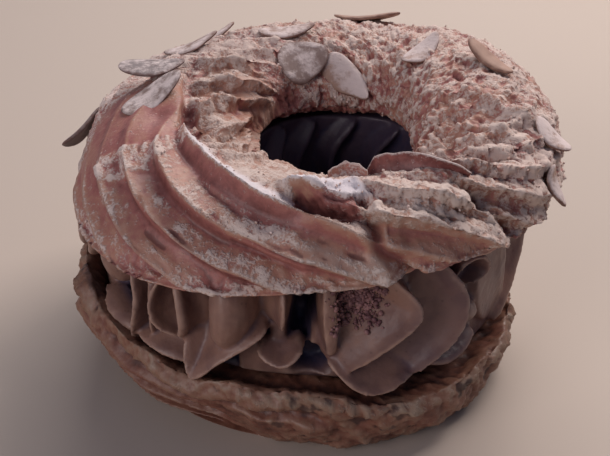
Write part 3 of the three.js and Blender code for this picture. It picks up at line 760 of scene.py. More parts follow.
@dataclass(frozen=True)
class CapForm:
    """Form of the upper choux half, with the sizes that its solid has."""

    outer_centre: Plan = (4.5, 0.0)
    hole_centre: Plan = (12.0, -1.0)
    outer_radius: RingTable = RingTable(
        (48.6, 50, 50, 48, 47, 47.3, 45.4, 46.3, 47.8, 46, 45.8, 46.2)
    )
    hole_radius: RingTable = RingTable(
        (12.2, 12.6, 13.8, 15, 16.6, 18, 18, 18.2, 17.8, 16.5, 15.6, 13.6)
    )
    rim_height: RingTable = RingTable((40, 42, 42, 40, 38, 36, 36, 36, 38, 40, 41.5, 39.5))
    lip_height: RingTable = RingTable((44, 44.8, 45.2, 45, 45.4, 45, 44, 44, 43.5, 43, 43, 43.5))
    dome: RingTable = RingTable((13.5, 14, 12.4, 13.5, 14.3, 15, 16, 16, 15, 13, 12, 12))
    sink: RingTable = RingTable((0, 0, 0, 0, 0, 0, 0.4, 4.3, 6.6, 6.4, 6, 3))
    sink_turn: float = 128.0
    sink_width: float = 62.0
    underside: float = 3.0
    squareness: float = 0.85
    tips: tuple[Triple, ...] = (
        (252, 0.8, 14), (268, 1.0, 14), (285, 2.0, 18), (312.5, 2.0, 22), (333, 0.8, 14),
    )
    tip_return: float = 5.0

    under_power: float = 2.35
    under_root: float = 0.425

    def rims(self, angle: Array) -> tuple[Array, Array]:
        """Outer and inner edge of the ring in the plan."""
        outer = plan_point(self.outer_centre, self.outer_radius.at(angle), angle)
        return outer, plan_point(self.hole_centre, self.hole_radius.at(angle), angle)

    def across(self, points: Array) -> tuple[Array, Array]:
        """Angle and place across the section of points of the plan.

        Args:
            points: Points with x and y first.

        Returns:
            Angle round the ring and place across, -1 at the hole and 1 outside.
        """
        angle = angle_about(self.outer_centre, points)
        outer, inner = self.rims(angle)
        half = 0.5 * (outer - inner)
        offset = points[:, :2] - 0.5 * (outer + inner)
        return angle, np.sum(offset * half, 1) / np.sum(half**2, 1)

    def below(self, angle: Array, across: Array) -> Array:
        """Height of the underside at a place across the section."""
        rim, lip = self.rim_height.at(angle), self.lip_height.at(angle)
        inside = np.clip(1 - np.abs(across) ** self.under_power, 0, 1) ** self.under_root
        return lip + 0.5 * (rim - lip) * (1 + across) - self.underside * inside

    def tip_reach(self, angle: Array) -> Array:
        """Extra reach of the rim where ridges end in points."""
        reach = np.zeros_like(np.asarray(angle, float))
        for middle, size, run in self.tips:
            past = between(angle, middle)
            share = np.where(past < 0, 1 + past / run, 1 - past / self.tip_return)
            reach = np.maximum(reach, size * np.maximum(share, 0))
        return reach

    def point(self, angle: Array, turn: Array, lift: Numbers) -> Array:
        """Points of the surface.

        Args:
            angle: Places round the ring.
            turn: Places round the section.
            lift: Height above the plain form.

        Returns:
            The points, with x, y and z on the last axis.
        """
        outer, inner = self.rims(angle)
        middle, half = 0.5 * (outer + inner), 0.5 * (outer - inner)
        cos, sin = np.cos(radians(turn)), np.sin(radians(turn))
        across = np.sign(cos) * np.abs(cos) ** self.squareness
        up = np.sign(sin) * np.abs(sin) ** self.squareness
        tip = self.tip_reach(angle) * bump(between(turn, 4.0), 50.0)
        stretch = across * (1 + (lift + tip) / np.linalg.norm(half, axis=-1))
        plan = middle + half * stretch[..., None]
        rim, lip = self.rim_height.at(angle), self.lip_height.at(angle)
        rise = np.where(up > 0, self.dome.at(angle) + lift, self.underside + lift)
        height = lip + 0.5 * (rim - lip) * (1 + across) + rise * up
        height = height - self.sink.at(angle) * bump(between(turn, self.sink_turn), self.sink_width)
        return at_height(plan, height)

    def spot(self, angle: float, turn: float, lift: float = 0.0) -> Array:
        """One point of the surface."""
        return self.point(np.array([angle]), np.array([turn]), lift)[0]

    def normal(self, angle: float, turn: float) -> Array:
        """Direction out of the surface at one place."""
        step = 2.0
        along = self.spot(angle + step, turn) - self.spot(angle - step, turn)
        over = self.spot(angle, turn + step) - self.spot(angle, turn - step)
        out = np.cross(along, over)
        return out / np.linalg.norm(out)


@dataclass(frozen=True)
class Swell:
    """Local swell or hollow: place, size in degrees and height."""

    angle: float
    turn: float
    wide: float
    high: float
    lift: float

    def at(self, angle: Array, turn: Array) -> Array:
        """Its height at each place."""
        beside = bump(between(angle, self.angle), self.wide)
        return self.lift * beside * bump(between(turn, self.turn), self.high)


@dataclass(frozen=True)
class Ridges:
    """Twisted ridges left by the star nozzle."""

    per_section: int = 16
    per_ring: int = 18
    first_crest: float = 3.5
    crest: float = 1.35
    foot: float = -1.25
    face: float = 0.36
    strength: RingTable = RingTable(
        (0.25, 0.25, 0.3, 0.35, 0.45, 0.6, 0.9, 1.15, 1.2, 1.05, 0.95, 0.7)
    )
    drift: RingTable = RingTable((14, 6, 0, 0, 0, 0, 0, 0, 0, 0, 4, 20))
    raised: Line = (
        (196, 208, 216, 223, 229, 237, 244, 256, 265, 275, 281, 290),
        (-9, -14, -8, -2, 3, 5.6, 7, 7, 8.5, 7.4, 4, 0),
    )
    own: tuple[tuple[int, tuple[float, ...], tuple[float, ...]], ...] = (
        (1, (198, 208, 276, 286, 296), (0.5, 1.05, 1.0, 0.5, 0.3)),
        (0, (252, 262, 272, 300, 318), (0.0, 1.3, 1.7, 1.1, 0.8)),
        (15, (268, 280, 300, 318), (0.0, 0.8, 1.0, 0.8)),
        (14, (284, 296, 312), (0.0, 0.6, 1.2)),
        (13, (300, 312, 330), (0.0, 0.9, 1.2)),
    )

    def line(self, number: float | Array, angle: Array) -> Array:
        """Turn at which a ridge's crest lies, or a place between two crests."""
        spacing, twist = FULL_TURN / self.per_section, self.per_ring / self.per_section
        own = np.interp(angle, *self.raised) * np.clip(1 - np.abs(np.asarray(number) - 1.0), 0, 1)
        return self.first_crest - spacing * number - twist * angle - self.drift.at(angle) + own

    def share(self, number: int, angle: Array) -> Array:
        """Strength of one ridge along its way, next to the common strength."""
        for own, angles, shares in self.own:
            if own == number % self.per_section:
                return np.interp(angle, angles, shares)
        return np.ones_like(angle)

    def profile(self, phase: Array, this: Array, following: Array) -> Array:
        """Height across one ridge: a steep concave face, then a gentle rounded back.

        Args:
            phase: 0 at the crest, growing towards the rim, 1 at the next crest.
            this: Strength of this ridge.
            following: Strength of the next ridge towards the rim.

        Returns:
            The height.
        """
        down = np.clip(phase / self.face, 0, 1)
        rise = np.clip((phase - self.face) / (1 - self.face), 0, 1)
        steep = lerp(self.crest * this, self.foot * this, 1 - (1 - down) ** 1.5)
        back = lerp(self.foot * this, self.crest * following, 0.35 * rise + 0.65 * rise**1.9)
        return np.where(phase < self.face, steep, back)

    def fade(self, turn: Array) -> Array:
        """How strongly the ridges show: full over the dome, none underneath."""
        return np.clip((105 - np.abs(between(turn, 60.0))) / 35, 0, 1)


@dataclass(frozen=True)
class Folds:
    """Wavy folds that cross the section, each with a steep side and a gentle one."""

    lines: tuple[float, ...]
    heights: tuple[float, ...]
    steep: float
    bend: Line
    sign: float = 1.0

    def place(self, angle: Array, turn: Array) -> tuple[Array, Array]:
        """Number of the fold and place across it.

        Args:
            angle: Places round the ring.
            turn: Places round the section.

        Returns:
            Fold number and phase, 0 at its crest and growing down its steep side.
        """
        straight = self.sign * (angle + np.interp(turn, *self.bend))
        straight = straight + 1.6 * np.sin(radians(9.0 * turn))
        straight = straight + 0.9 * np.sin(radians(17.0 * turn + 3 * angle))
        lines = np.asarray(self.lines) * self.sign
        place = np.interp(straight, np.sort(lines), np.arange(len(lines)))
        number = np.clip(np.floor(place), 0, len(lines) - 2).astype(int)
        return number, place - number

    def height(self, angle: Array, turn: Array) -> Array:
        """Height of the folds at each place."""
        number, phase = self.place(angle, turn)
        sizes = np.asarray(self.heights)
        down = np.clip(phase / self.steep, 0, 1)
        rise = np.clip((phase - self.steep) / (1 - self.steep), 0, 1)
        fall = lerp(sizes[number], 0.0, down**0.8)
        back = lerp(0.0, sizes[number + 1], 0.3 * rise + 0.7 * rise**2)
        return np.where(phase < self.steep, fall, back)


LEFT_FOLDS = Folds(
    (146, 160, 176, 191, 210, 222, 233, 246), (1.6, 2.2, 2.4, 2.6, 2.6, 2.0, 1.6, 0.8), 0.28,
    ((80, 95, 115, 140, 160, 175), (0, 0, 1, 9, 26, 40)),
)
RIGHT_FOLDS = Folds(
    (310, 325, 334, 345, 357, 372), (0.0, 2.4, 2.2, 1.2, 0.7, 0.3), 0.25,
    ((40, 62, 88, 121), (-6, -3, 0, 1)), -1.0,
)

SWELLS = tuple(
    Swell(*row)
    for row in (
        (206, 112, 13, 14, -2.0), (193, 92, 12, 9, 1.0), (268, 53, 9, 10, -1.6),
        (266, 69, 9, 8, 1.2), (296, 46, 13, 24, 1.8), (310, 36, 6, 22, -3.0),
        (328, 40, 11, 26, 1.6), (318, 108, 16, 12, -2.4),
    )
)
# Mean length on the upper half of one degree round the ring and one round the section.
MM_PER_ANGLE = 0.72
MM_PER_TURN = 0.27


def edge_distance(angle: Array, turn: Array, places: Places) -> Array:
    """Distance to a line of places, in millimetres.

    Args:
        angle: Places round the ring.
        turn: Places round the section.
        places: Corners of the line.

    Returns:
        The distance to the nearest part of the line.
    """
    x, y = angle * MM_PER_ANGLE, turn * MM_PER_TURN
    corners = np.array(places, float) * (MM_PER_ANGLE, MM_PER_TURN)
    near = np.full(np.shape(x), 1e9)
    for (ax, ay), (bx, by) in zip(corners[:-1], corners[1:]):
        dx, dy = bx - ax, by - ay
        share = np.clip(((x - ax) * dx + (y - ay) * dy) / (dx * dx + dy * dy), 0, 1)
        near = np.minimum(near, np.hypot(x - ax - share * dx, y - ay - share * dy))
    return near


@dataclass(frozen=True)
class Patch:
    """Area of the upper half inside a ring of places, with a soft edge in millimetres."""

    places: Places
    edge: float = 0.5

    def at(self, angle: Array, turn: Array) -> Array:
        """1 inside the patch and 0 outside it.

        Args:
            angle: Places round the ring.
            turn: Places round the section.

        Returns:
            The share of the patch at each place.
        """
        closed = (*self.places, self.places[0])
        near = edge_distance(angle, turn, closed)
        inside = np.zeros(np.shape(near), bool)
        for (ax, ay), (bx, by) in zip(closed[:-1], closed[1:]):
            if ay != by:
                crossing = ax + (turn - ay) * (bx - ax) / (by - ay)
                inside ^= ((ay > turn) != (by > turn)) & (angle < crossing)
        return smooth(np.where(inside, near, -near), -self.edge, self.edge)


@dataclass(frozen=True)
class Cleft:
    """Narrow gap along a line of places: its depth and half width in millimetres."""

    places: Places
    depth: float
    wide: float

    def at(self, angle: Array, turn: Array) -> Array:
        """Its depth at each place."""
        return self.depth * bell(edge_distance(angle, turn, self.places), self.wide)


# Places on the upper half: angle round the ring, then turn round the section.
# A real recess below the sugar lump; the crust's layers also darken it as painted shade.
RECESS = Patch((
    (261, 70), (263, 61), (266, 54), (270, 47), (275, 40), (279, 46), (277, 57), (271, 61),
    (266, 66),
), 0.45)
LUMP = Patch((
    (259, 72), (262, 80), (270, 81), (277, 74), (281, 62), (277, 58), (271, 62), (266, 67),
), 0.6)
LOBE_TOP = Patch((
    (281, 42), (283, 60), (289, 64), (297, 60), (304, 50), (308, 39), (313, 21), (314, 8),
    (306, 9), (297, 21), (288, 32),
), 0.5)
CLUMPY_LOBE = Patch((
    (313, 84), (317, 60), (320, 42), (325, 18), (328, -10), (352, -10), (356, 40), (350, 84),
), 1.6)
BAND = Patch((
    (203, 38), (206, 48), (209, 58), (212, 66), (214, 75), (213, 84), (211, 91), (219, 88),
    (221, 76), (224, 68), (222, 61), (220, 53), (217, 46), (214, 39), (209, 33),
), 0.6)
SUGAR_PATCHES = tuple(
    Swell(*row)
    for row in (
        (238, 59, 5, 11, 0.42), (233, 44, 5, 10, 0.42), (241, 31, 5, 9, 0.42),
        (257, 37, 12, 9, 0.25), (222, 28, 4, 8, 0.34), (230, 13, 5, 7, 0.38),
        (247, 14, 8, 6, 0.25), (250, 62, 6, 6, 0.20),
    )
)
# A real dip of the crust; the crust's layers also darken it as painted shade.
SHADED_DIP = Swell(200, 103, 9, 9, 1.0)
FACE_DUST = Swell(258, 39, 8, 8, 0.30)
NOTCH = Cleft(((279, 56), (281, 41), (284, 20), (288, 2), (291, -12)), 2.4, 1.1)
GROOVE = Cleft(((304, 60), (308, 47), (312.5, 26), (317, 8), (319, -8)), 2.0, 0.9)
CRACKS = tuple(
    Cleft(places, 0.9, 0.42)
    for places in (
        ((247, 43), (254, 33), (262, 22), (270, 12)),
        ((236, 68), (244, 58), (252, 48)),
        ((228, 40), (236, 28), (243, 18)),
        ((289, 56), (297, 45), (305, 30), (312, 14)),
        ((286, 48), (294, 38), (303, 24)),
        ((252, 30), (260, 18), (267, 7)),
    )
)

# Stretches of the angle, then two of the phase across a ridge.
LEFT_PLATEAU = Span((150, 172), (250, 264))
LEFT_FOLDED = Span((140, 156), (232, 248))
SEAM_STEP = Span((160, 176), (214, 230))
RIGHT_LEDGES = Span((312, 322), (352, 359))
SUGAR_BAND = Span((203, 214), (258, 268))
BEIGE_SIDE = Span((140, 160), (262, 276))
RIDGE_FACE = Span((-0.02, 0.02), (0.30, 0.46))
BELOW_CREST = Span((0.0, 0.06), (0.20, 0.44))


@dataclass(frozen=True)
class CrustAreas:
    """Places of the upper crust's vertices and their share of each area.

    over is the upper side with the hole's lip, clean the bare faces of the smooth ridges,
    back their dusted backs, open_top the crumbly rest, and film the dusting on the backs.
    """

    angle: Array
    turn: Array
    phase: Array
    beyond: Array
    over: Array
    under_lip: Array
    front: Array
    lobe: Array
    clean: Array
    back: Array
    open_top: Array
    band: Array
    lobe_top: Array
    clumps: Array
    right: Array
    film: Array
    shaded_dip: Array
    rim_edge: Array


@dataclass(frozen=True)
class CrustGrain:
    """Noise, lumps and creases at the upper crust's vertices."""

    streak: Array
    lump: Array
    knob: Array
    creases: Array
    crumb: Array
    coarse: Array
    fine: Array
    mottle: Array
    clumpy: Array

    @classmethod
    def of(cls, points: Array, phase: Array, right: Array) -> CrustGrain:
        """Reads the noise at the crust's places.

        Args:
            points: Vertices of the smooth crust.
            phase: Place of each vertex across its ridge.
            right: Share of the pastry's right side.

        Returns:
            The values at each vertex.
        """
        grain = Grain(7)
        along = [0.14 * points[:, 0], 0.14 * points[:, 1], 6.5 * phase + 0.25 * points[:, 2]]
        near, second = grain.lumps(points + 0.5 * grain.noise(points, 2.0)[:, None], 2.3)
        wide, next_wide = grain.lumps(points + 60 + 0.8 * grain.noise(points, 3.0)[:, None], 3.4)
        small, _ = grain.lumps(points + 15, 0.95)
        return cls(
            streak=grain.fractal(np.stack(along, -1), 1.2, 3),
            lump=rounded(near, 1.6) - 0.5,
            knob=rounded(wide, 1.7) - 0.5,
            creases=bell(second - near, 0.16) + bell(next_wide - wide, 0.14),
            crumb=rounded(small, 1.8) - 0.5,
            coarse=grain.fractal(points, 5.0, 3),
            fine=grain.fractal(points + 40.0, 1.5, 2),
            mottle=grain.fractal(points + 77, 2.6, 3),
            clumpy=lerp(smooth(grain.noise(points + 9, 9.0), -0.3, 0.4), 1.0, 0.7 * right),
        )


@dataclass
class TopChoux:
    """Upper choux half: twisted ridges, wavy folds and a dusted crumbly crust."""

    form: CapForm = CapForm()
    ridges: Ridges = Ridges()
    rows: int = 680
    per_ridge: int = 14
    crowding: float = 0.045
    fold_foot: float = 0.6
    step_depth: float = 2.2
    notch_lip: Triple = (0.5, 1.9, 0.9)
    notch_lip_end: float = 285.0
    seam: Line = ((150, 172, 195, 209), (92, 98, 98, 90))
    plain_line: Line = (
        (10, 38, 48, 58, 66, 75, 84, 92), (194, 203, 206, 209, 212, 214, 210, 204),
    )
    notch_line: Line = (
        (-12, 2, 20, 41, 56), (291, 288, 284, 281, 279),
    )
    band_width: Line = (
        (209, 230, 242, 254, 262), (3, 5, 7, 9, 9),
    )

    def _columns(self) -> tuple[Array, Array]:
        """Places of the mesh columns across the ridges: ridge number and phase."""
        share = np.linspace(0, 1, self.per_ridge, endpoint=False)
        phase = share - self.crowding * np.sin(2 * np.pi * share)
        number = np.repeat(np.arange(self.ridges.per_section), self.per_ridge)
        return number, np.tile(phase, self.ridges.per_section)

    def build(self) -> Piece:
        """Makes the piece with its layers."""
        ridges = self.ridges
        number, phase = self._columns()
        angle = (np.arange(self.rows) * FULL_TURN / self.rows)[:, None]
        turn = ridges.line((number + phase)[None, :], angle)
        phase = np.broadcast_to(phase[None, :], turn.shape)
        angle = np.broadcast_to(angle, turn.shape)
        turn = between(turn, 0.0)
        fade = ridges.fade(turn)
        shares = [ridges.share(k, angle[:, 0]) for k in range(ridges.per_section + 1)]
        this = np.stack([shares[k] for k in number], 1)
        following = np.stack([shares[k + 1] for k in number], 1)
        beyond = self.beyond(angle, turn)
        plateau = LEFT_PLATEAU.at(angle) * smooth(beyond, 2, 9)
        covered = (1 - plateau) * (1 - 0.85 * self.plain(angle, turn))
        lift = ridges.profile(phase, this, following) * ridges.strength.at(angle) * fade * covered
        lift = lift + sum(swell.at(angle, turn) for swell in SWELLS)
        lift = lift + 0.45 * uneven(angle, turn) * fade
        lift = lift + self._folds(angle, turn, beyond) + self._breaks(angle, turn)
        points = self.form.point(angle, turn, lift).reshape(-1, 3)
        columns = turn.shape[1]
        shift = (ridges.per_ring * self.per_ridge) % columns
        shell = topside_up(Shell(points, ring_faces(self.rows, columns, shift)))
        piece = shell.to_object("top_choux_crust")
        self._roughen(piece, angle.ravel(), turn.ravel(), phase.ravel())
        return piece

    def plain(self, angle: Array, turn: Array) -> Array:
        """Share of the plain crust that lies behind the band of sugar on the left."""
        behind = 1 - smooth(angle - np.interp(turn, *self.plain_line), -3, 13)
        return behind * smooth(angle + 6 * uneven(angle, turn), 156, 182) * smooth(turn, 4, 22)

    def beyond(self, angle: Array, turn: Array) -> Array:
        """Turn past the bright crest and the seam that carries it on, towards the hole."""
        crest = between(self.ridges.line(1, angle), 0.0)
        seam = np.interp(angle, *self.seam)
        return between(turn, np.where(angle < self.seam[0][-1], seam, crest))

    def _folds(self, angle: Array, turn: Array, beyond: Array) -> Array:
        """Wavy folds of the hole side, the step of the seam and the ledges of the right.

        Args:
            angle: Places round the ring.
            turn: Places round the section.
            beyond: Distance past the seam.

        Returns:
            Height of the folds.
        """
        hole_side = smooth(beyond, 3, 9) * (1 - smooth(turn, 160, 176))
        left = LEFT_FOLDED.at(angle) * hole_side * (turn > 0)
        step = SEAM_STEP.at(angle) * smooth(beyond, -1, 3)
        right = RIGHT_LEDGES.at(angle) * bump(between(turn, 88), 62) ** 0.5
        folds = left * (LEFT_FOLDS.height(angle, turn) - self.fold_foot)
        folds = folds - self.step_depth * step * (turn > 0)
        return folds + right * (RIGHT_FOLDS.height(angle, turn) - self.fold_foot)

    def _breaks(self, angle: Array, turn: Array) -> Array:
        """Notch and groove between the lobes, cracks, the sugar lump and the recess below it.

        Args:
            angle: Places round the ring.
            turn: Places round the section.

        Returns:
            Height of the breaks.
        """
        height = -NOTCH.at(angle, turn) - GROOVE.at(angle, turn)
        raised, away, wide = self.notch_lip
        beside = edge_distance(angle, turn, NOTCH.places) - away
        height = height + raised * bell(beside, wide) * (angle < self.notch_lip_end)
        for crack in CRACKS:
            height = height - crack.at(angle, turn)
        height = height - 1.2 * RECESS.at(angle, turn) + 0.9 * LUMP.at(angle, turn)
        return height + 0.3 * BAND.at(angle, turn)

    def _sides(self, angle: Array, turn: Array, beyond: Array) -> tuple[Array, Array]:
        """Where the crust is smooth: the ridges of the front left, and the lobe's face.

        Args:
            angle: Places round the ring.
            turn: Places round the section.
            beyond: Distance past the seam.

        Returns:
            Share of the ridged side and of the lobe's face.
        """
        past = smooth(angle - np.interp(turn, *self.notch_line), -0.7, 0.7)
        started = smooth(angle + 6 * uneven(angle, turn), 168, 190)
        front = started * (1 - past) * (1 - smooth(beyond, -0.5, 2.0))
        lobe_line = between(self.ridges.line(0, angle), 0.0)
        lobe = past * (1 - smooth(angle, 314, 319))
        lobe = lobe * (1 - smooth(between(turn, lobe_line), -1.5, 1.5))
        return front, lobe

    def _film(self, angle: Array, turn: Array) -> Array:
        """Dusting on the backs of the ridges, stronger towards the front and in patches."""
        above = between(turn, self.ridges.line(2, angle))
        upper = smooth(above, -1.0, 2.0) * smooth(angle, 212, 226)
        film = 0.18 + 0.20 * smooth(angle, 240, 256) + 0.20 * upper
        film = film * (1 - 0.55 * smooth(angle, 260, 274))
        return film + sum(spot.at(angle, turn) for spot in SUGAR_PATCHES)

    def _areas(self, angle: Array, turn: Array, phase: Array) -> CrustAreas:
        """Share of each area at each vertex.

        Args:
            angle: Place of each vertex round the ring.
            turn: Place of each vertex round the section.
            phase: Place of each vertex across its ridge.

        Returns:
            The areas.
        """
        under_lip = 1 - smooth(np.abs(between(turn, 180)), 30, 52)
        over = np.maximum(smooth(turn, -32, -4), under_lip)
        beyond = self.beyond(angle, turn)
        front, lobe = self._sides(angle, turn, beyond)
        smooth_side = np.clip(front + lobe, 0, 1)
        band = BAND.at(angle, turn)
        face = np.maximum(RIDGE_FACE.at(phase), 0.85 * self.plain(angle, turn)) * (1 - band)
        clean = front * face + 0.9 * lobe
        back, open_top = smooth_side - clean, over * (1 - smooth_side)
        lobe_top, clumps = LOBE_TOP.at(angle, turn), CLUMPY_LOBE.at(angle, turn)
        right = np.clip(smooth(np.cos(radians(angle - 20)), -0.35, 0.25), 0, 1)
        film, shaded_dip = self._film(angle, turn), SHADED_DIP.at(angle, turn)
        rim_edge = bump(between(turn, -5), 13) * smooth_side
        return CrustAreas(
            angle, turn, phase, beyond, over, under_lip, front, lobe, clean, back, open_top, band,
            lobe_top, clumps, right, film, shaded_dip, rim_edge,
        )

    @staticmethod
    def _relief(a: CrustAreas, g: CrustGrain) -> tuple[Array, Array]:
        """Crumbs, clumps, cracks and pits.

        Args:
            a: Areas of the crust.
            g: Its noise.

        Returns:
            Height at each vertex in millimetres, and the share of the pits.
        """
        over, back, open_top = a.over, a.back, a.open_top
        torn_lip = bump(between(a.turn, 162), 30) * smooth(np.cos(radians(a.angle - 50)), 0.1, 0.6)
        cracked = g.clumpy * (0.40 * g.lump - 0.15 * g.creases)
        height = open_top * (0.40 * g.coarse + 0.20 * g.fine + cracked)
        height += (0.50 * a.clumps + 0.40 * a.right + 0.7 * torn_lip) * open_top * g.knob
        height += a.band * a.front * (0.24 * g.lump + 0.22 * g.coarse + 0.1 * g.fine)
        height += a.lobe_top * (0.45 * g.streak + 0.15 * g.fine)
        dusted = 0.24 * g.streak + 0.14 * g.fine + 0.10 * g.coarse + 0.34 * a.film * g.crumb
        height += back * over * dusted
        crumbly = a.rim_edge * (0.26 * g.fine + 0.25 * g.crumb)
        height += crumbly + (0.20 + 0.28 * a.right) * open_top * g.crumb - 1.3 * a.shaded_dip
        height += a.lobe * (0.14 * g.streak + 0.12 * g.fine)
        height += a.clean * (0.08 * g.coarse + 0.02 * g.fine)
        pits = back * over * smooth(-g.streak, 0.35, 0.9)
        pits = pits + 0.45 * open_top * smooth(-g.coarse - g.fine, 0.6, 1.3)
        height -= 0.25 * pits
        height += (1 - over) * 0.12 * g.fine
        return height, pits

    def _layers(
        self, a: CrustAreas, g: CrustGrain, pits: Array, leaning: Array, raised: Array
    ) -> dict[str, Array]:
        """What the crust's finish reads: sugar, toast and pits, with a painted highlight where the
        crust stands out and painted shade in creases, the recess and the dip.

        Args:
            a: Areas of the crust.
            g: Its noise.
            pits: Share of the pits.
            leaning: How far the relief leans over the smooth crust.
            raised: How far each vertex stands out.

        Returns:
            The layers by name.
        """
        over, back, open_top, front, right = a.over, a.back, a.open_top, a.front, a.right
        angle, turn = a.angle, a.turn
        crest, below = smooth(a.phase, 0.90, 0.99), BELOW_CREST.at(a.phase)
        far_side = smooth(np.cos(radians(angle - 50)), 0.0, 0.3)
        lip_bare = a.under_lip * lerp(1.0, smooth(between(turn, 180), 2, 14), far_side)
        creases = np.clip(g.creases, 0, 1)
        folded = smooth(angle, 318, 330) * bump(between(turn, 95), 45)
        width = np.interp(angle, *self.band_width)
        band = SUGAR_BAND.at(angle) * smooth(a.beyond, -1.0, 0.6)
        band *= 1 - smooth(a.beyond, 0.4 * width, 1.1 * width)
        lump, hollow = LUMP.at(angle, turn), RECESS.at(angle, turn)
        beige = BEIGE_SIDE.at(angle) * smooth(a.beyond, 5, 14) * open_top

        sugar = over * (0.11 * a.clean + 0.9 * a.film * back + 0.42 * a.band * front)
        sugar = sugar + (0.72 - 0.35 * lip_bare) * open_top
        sugar += 0.22 * a.rim_edge + 0.25 * g.crumb * back * over
        mottled = 0.30 * right * (g.mottle + 0.5 * g.crumb)
        sugar += open_top * (mottled - 0.02 * right + 0.2 * a.clumps - 0.16 * g.clumpy * creases)
        dry = 0.20 * open_top * (g.coarse + 0.5 * g.fine)
        sugar += 0.26 * back * g.streak + dry - 0.40 * pits - 0.45 * leaning
        # Sugar on the crests of the front ridges: partly real dust and partly a painted highlight.
        sugar += 0.30 * over * front * crest + 0.12 * back * g.coarse
        # The lump gets more sugar; the recess under it and the dip get less, which with their
        # deeper toast is painted shade.
        clumped = 0.30 * band + 0.50 * lump - 0.50 * hollow
        sugar += clumped + 0.16 * a.lobe_top + 0.10 * a.lobe - 0.5 * a.shaded_dip
        # A painted highlight where the crust stands out, less dust on the beige side and a dusted
        # face.
        faint_dust_and_highlight = 0.14 * over * raised - 0.08 * beige + FACE_DUST.at(angle, turn)
        sugar += faint_dust_and_highlight - 0.12 * right * folded

        toast = 0.56 * a.clean - 0.10 * a.lobe + 0.42 * back + (0.42 - 0.16 * right) * open_top
        toast = toast + 0.25 * (1 - over)
        # Darker just below each front crest, painted shade; paler on the crest, partly real dust
        # and partly a painted highlight.
        toast += 0.12 * front * below - 0.16 * front * crest - 0.10 * a.lobe * smooth(turn, -30, 0)
        # Deeper toast in the recess and the dip, painted shade; paler on the sugar band and deeper
        # on leaning slopes.
        baked_and_shade = 0.30 * hollow + 0.3 * a.shaded_dip - 0.2 * band + 0.28 * leaning
        # Slightly deeper toast under the hole's lip: painted shade.
        toast += baked_and_shade - 0.22 * a.lobe_top + 0.1 * lip_bare
        toast += 0.14 * open_top * g.clumpy * creases - 0.25 * front * smooth(angle, 256, 278)
        # Paler where the crust stands out, a painted highlight, and deeper in creases, painted
        # shade.
        toast -= 0.34 * beige + 0.22 * over * raised

        # Painted shade in creases that sink below their surroundings and in the dip.
        sunk = 0.5 * over * np.clip(-raised, 0, 1) * (1 - 0.5 * np.maximum(hollow, a.clumps))
        pit_and_shade = pits + sunk + 0.3 * a.shaded_dip
        return {"sugar": sugar, "toast": toast, "cool": 0.9 * band + lump, "pit_and_shade": pit_and_shade}

    def _roughen(self, piece: Piece, angle: Array, turn: Array, phase: Array) -> None:
        """Adds crumbs, clumps, cracks and pits, and paints the layers.

        Args:
            piece: The smooth crust.
            angle: Place of each vertex round the ring.
            turn: Place of each vertex round the section.
            phase: Place of each vertex across its ridge.
        """
        points, normals = mesh_points(piece), mesh_normals(piece)
        areas = self._areas(angle, turn, phase)
        grain = CrustGrain.of(points, phase, areas.right)
        height, pits = self._relief(areas, grain)
        set_points(piece, points + normals * height[:, None])
        away = 1 - np.sum(normals * mesh_normals(piece), axis=1)
        leaning = smooth(away, 0.02, 0.30) * areas.open_top
        raised = standing_out(piece, 12, 0.3) * lerp(1.0, 0.5, areas.open_top)
        layers = self._layers(areas, grain, pits, leaning, raised)
        layers["cool"] = np.clip(layers["cool"] + 0.10 * smooth(-points[:, 0], 5, 35), 0, 1)
        add_layers(piece, layers)


# ---- almonds and skins


@dataclass(frozen=True)
class Flake:
    """One flaked almond: place, size, turn about its normal, tip and lift."""

    angle: float
    turn: float
    long: float
    wide: float
    spin: float
    tip: float
    lift: float
    tone: float = 0.4
    sugar: float = 0.75
    curl: float = 0.8


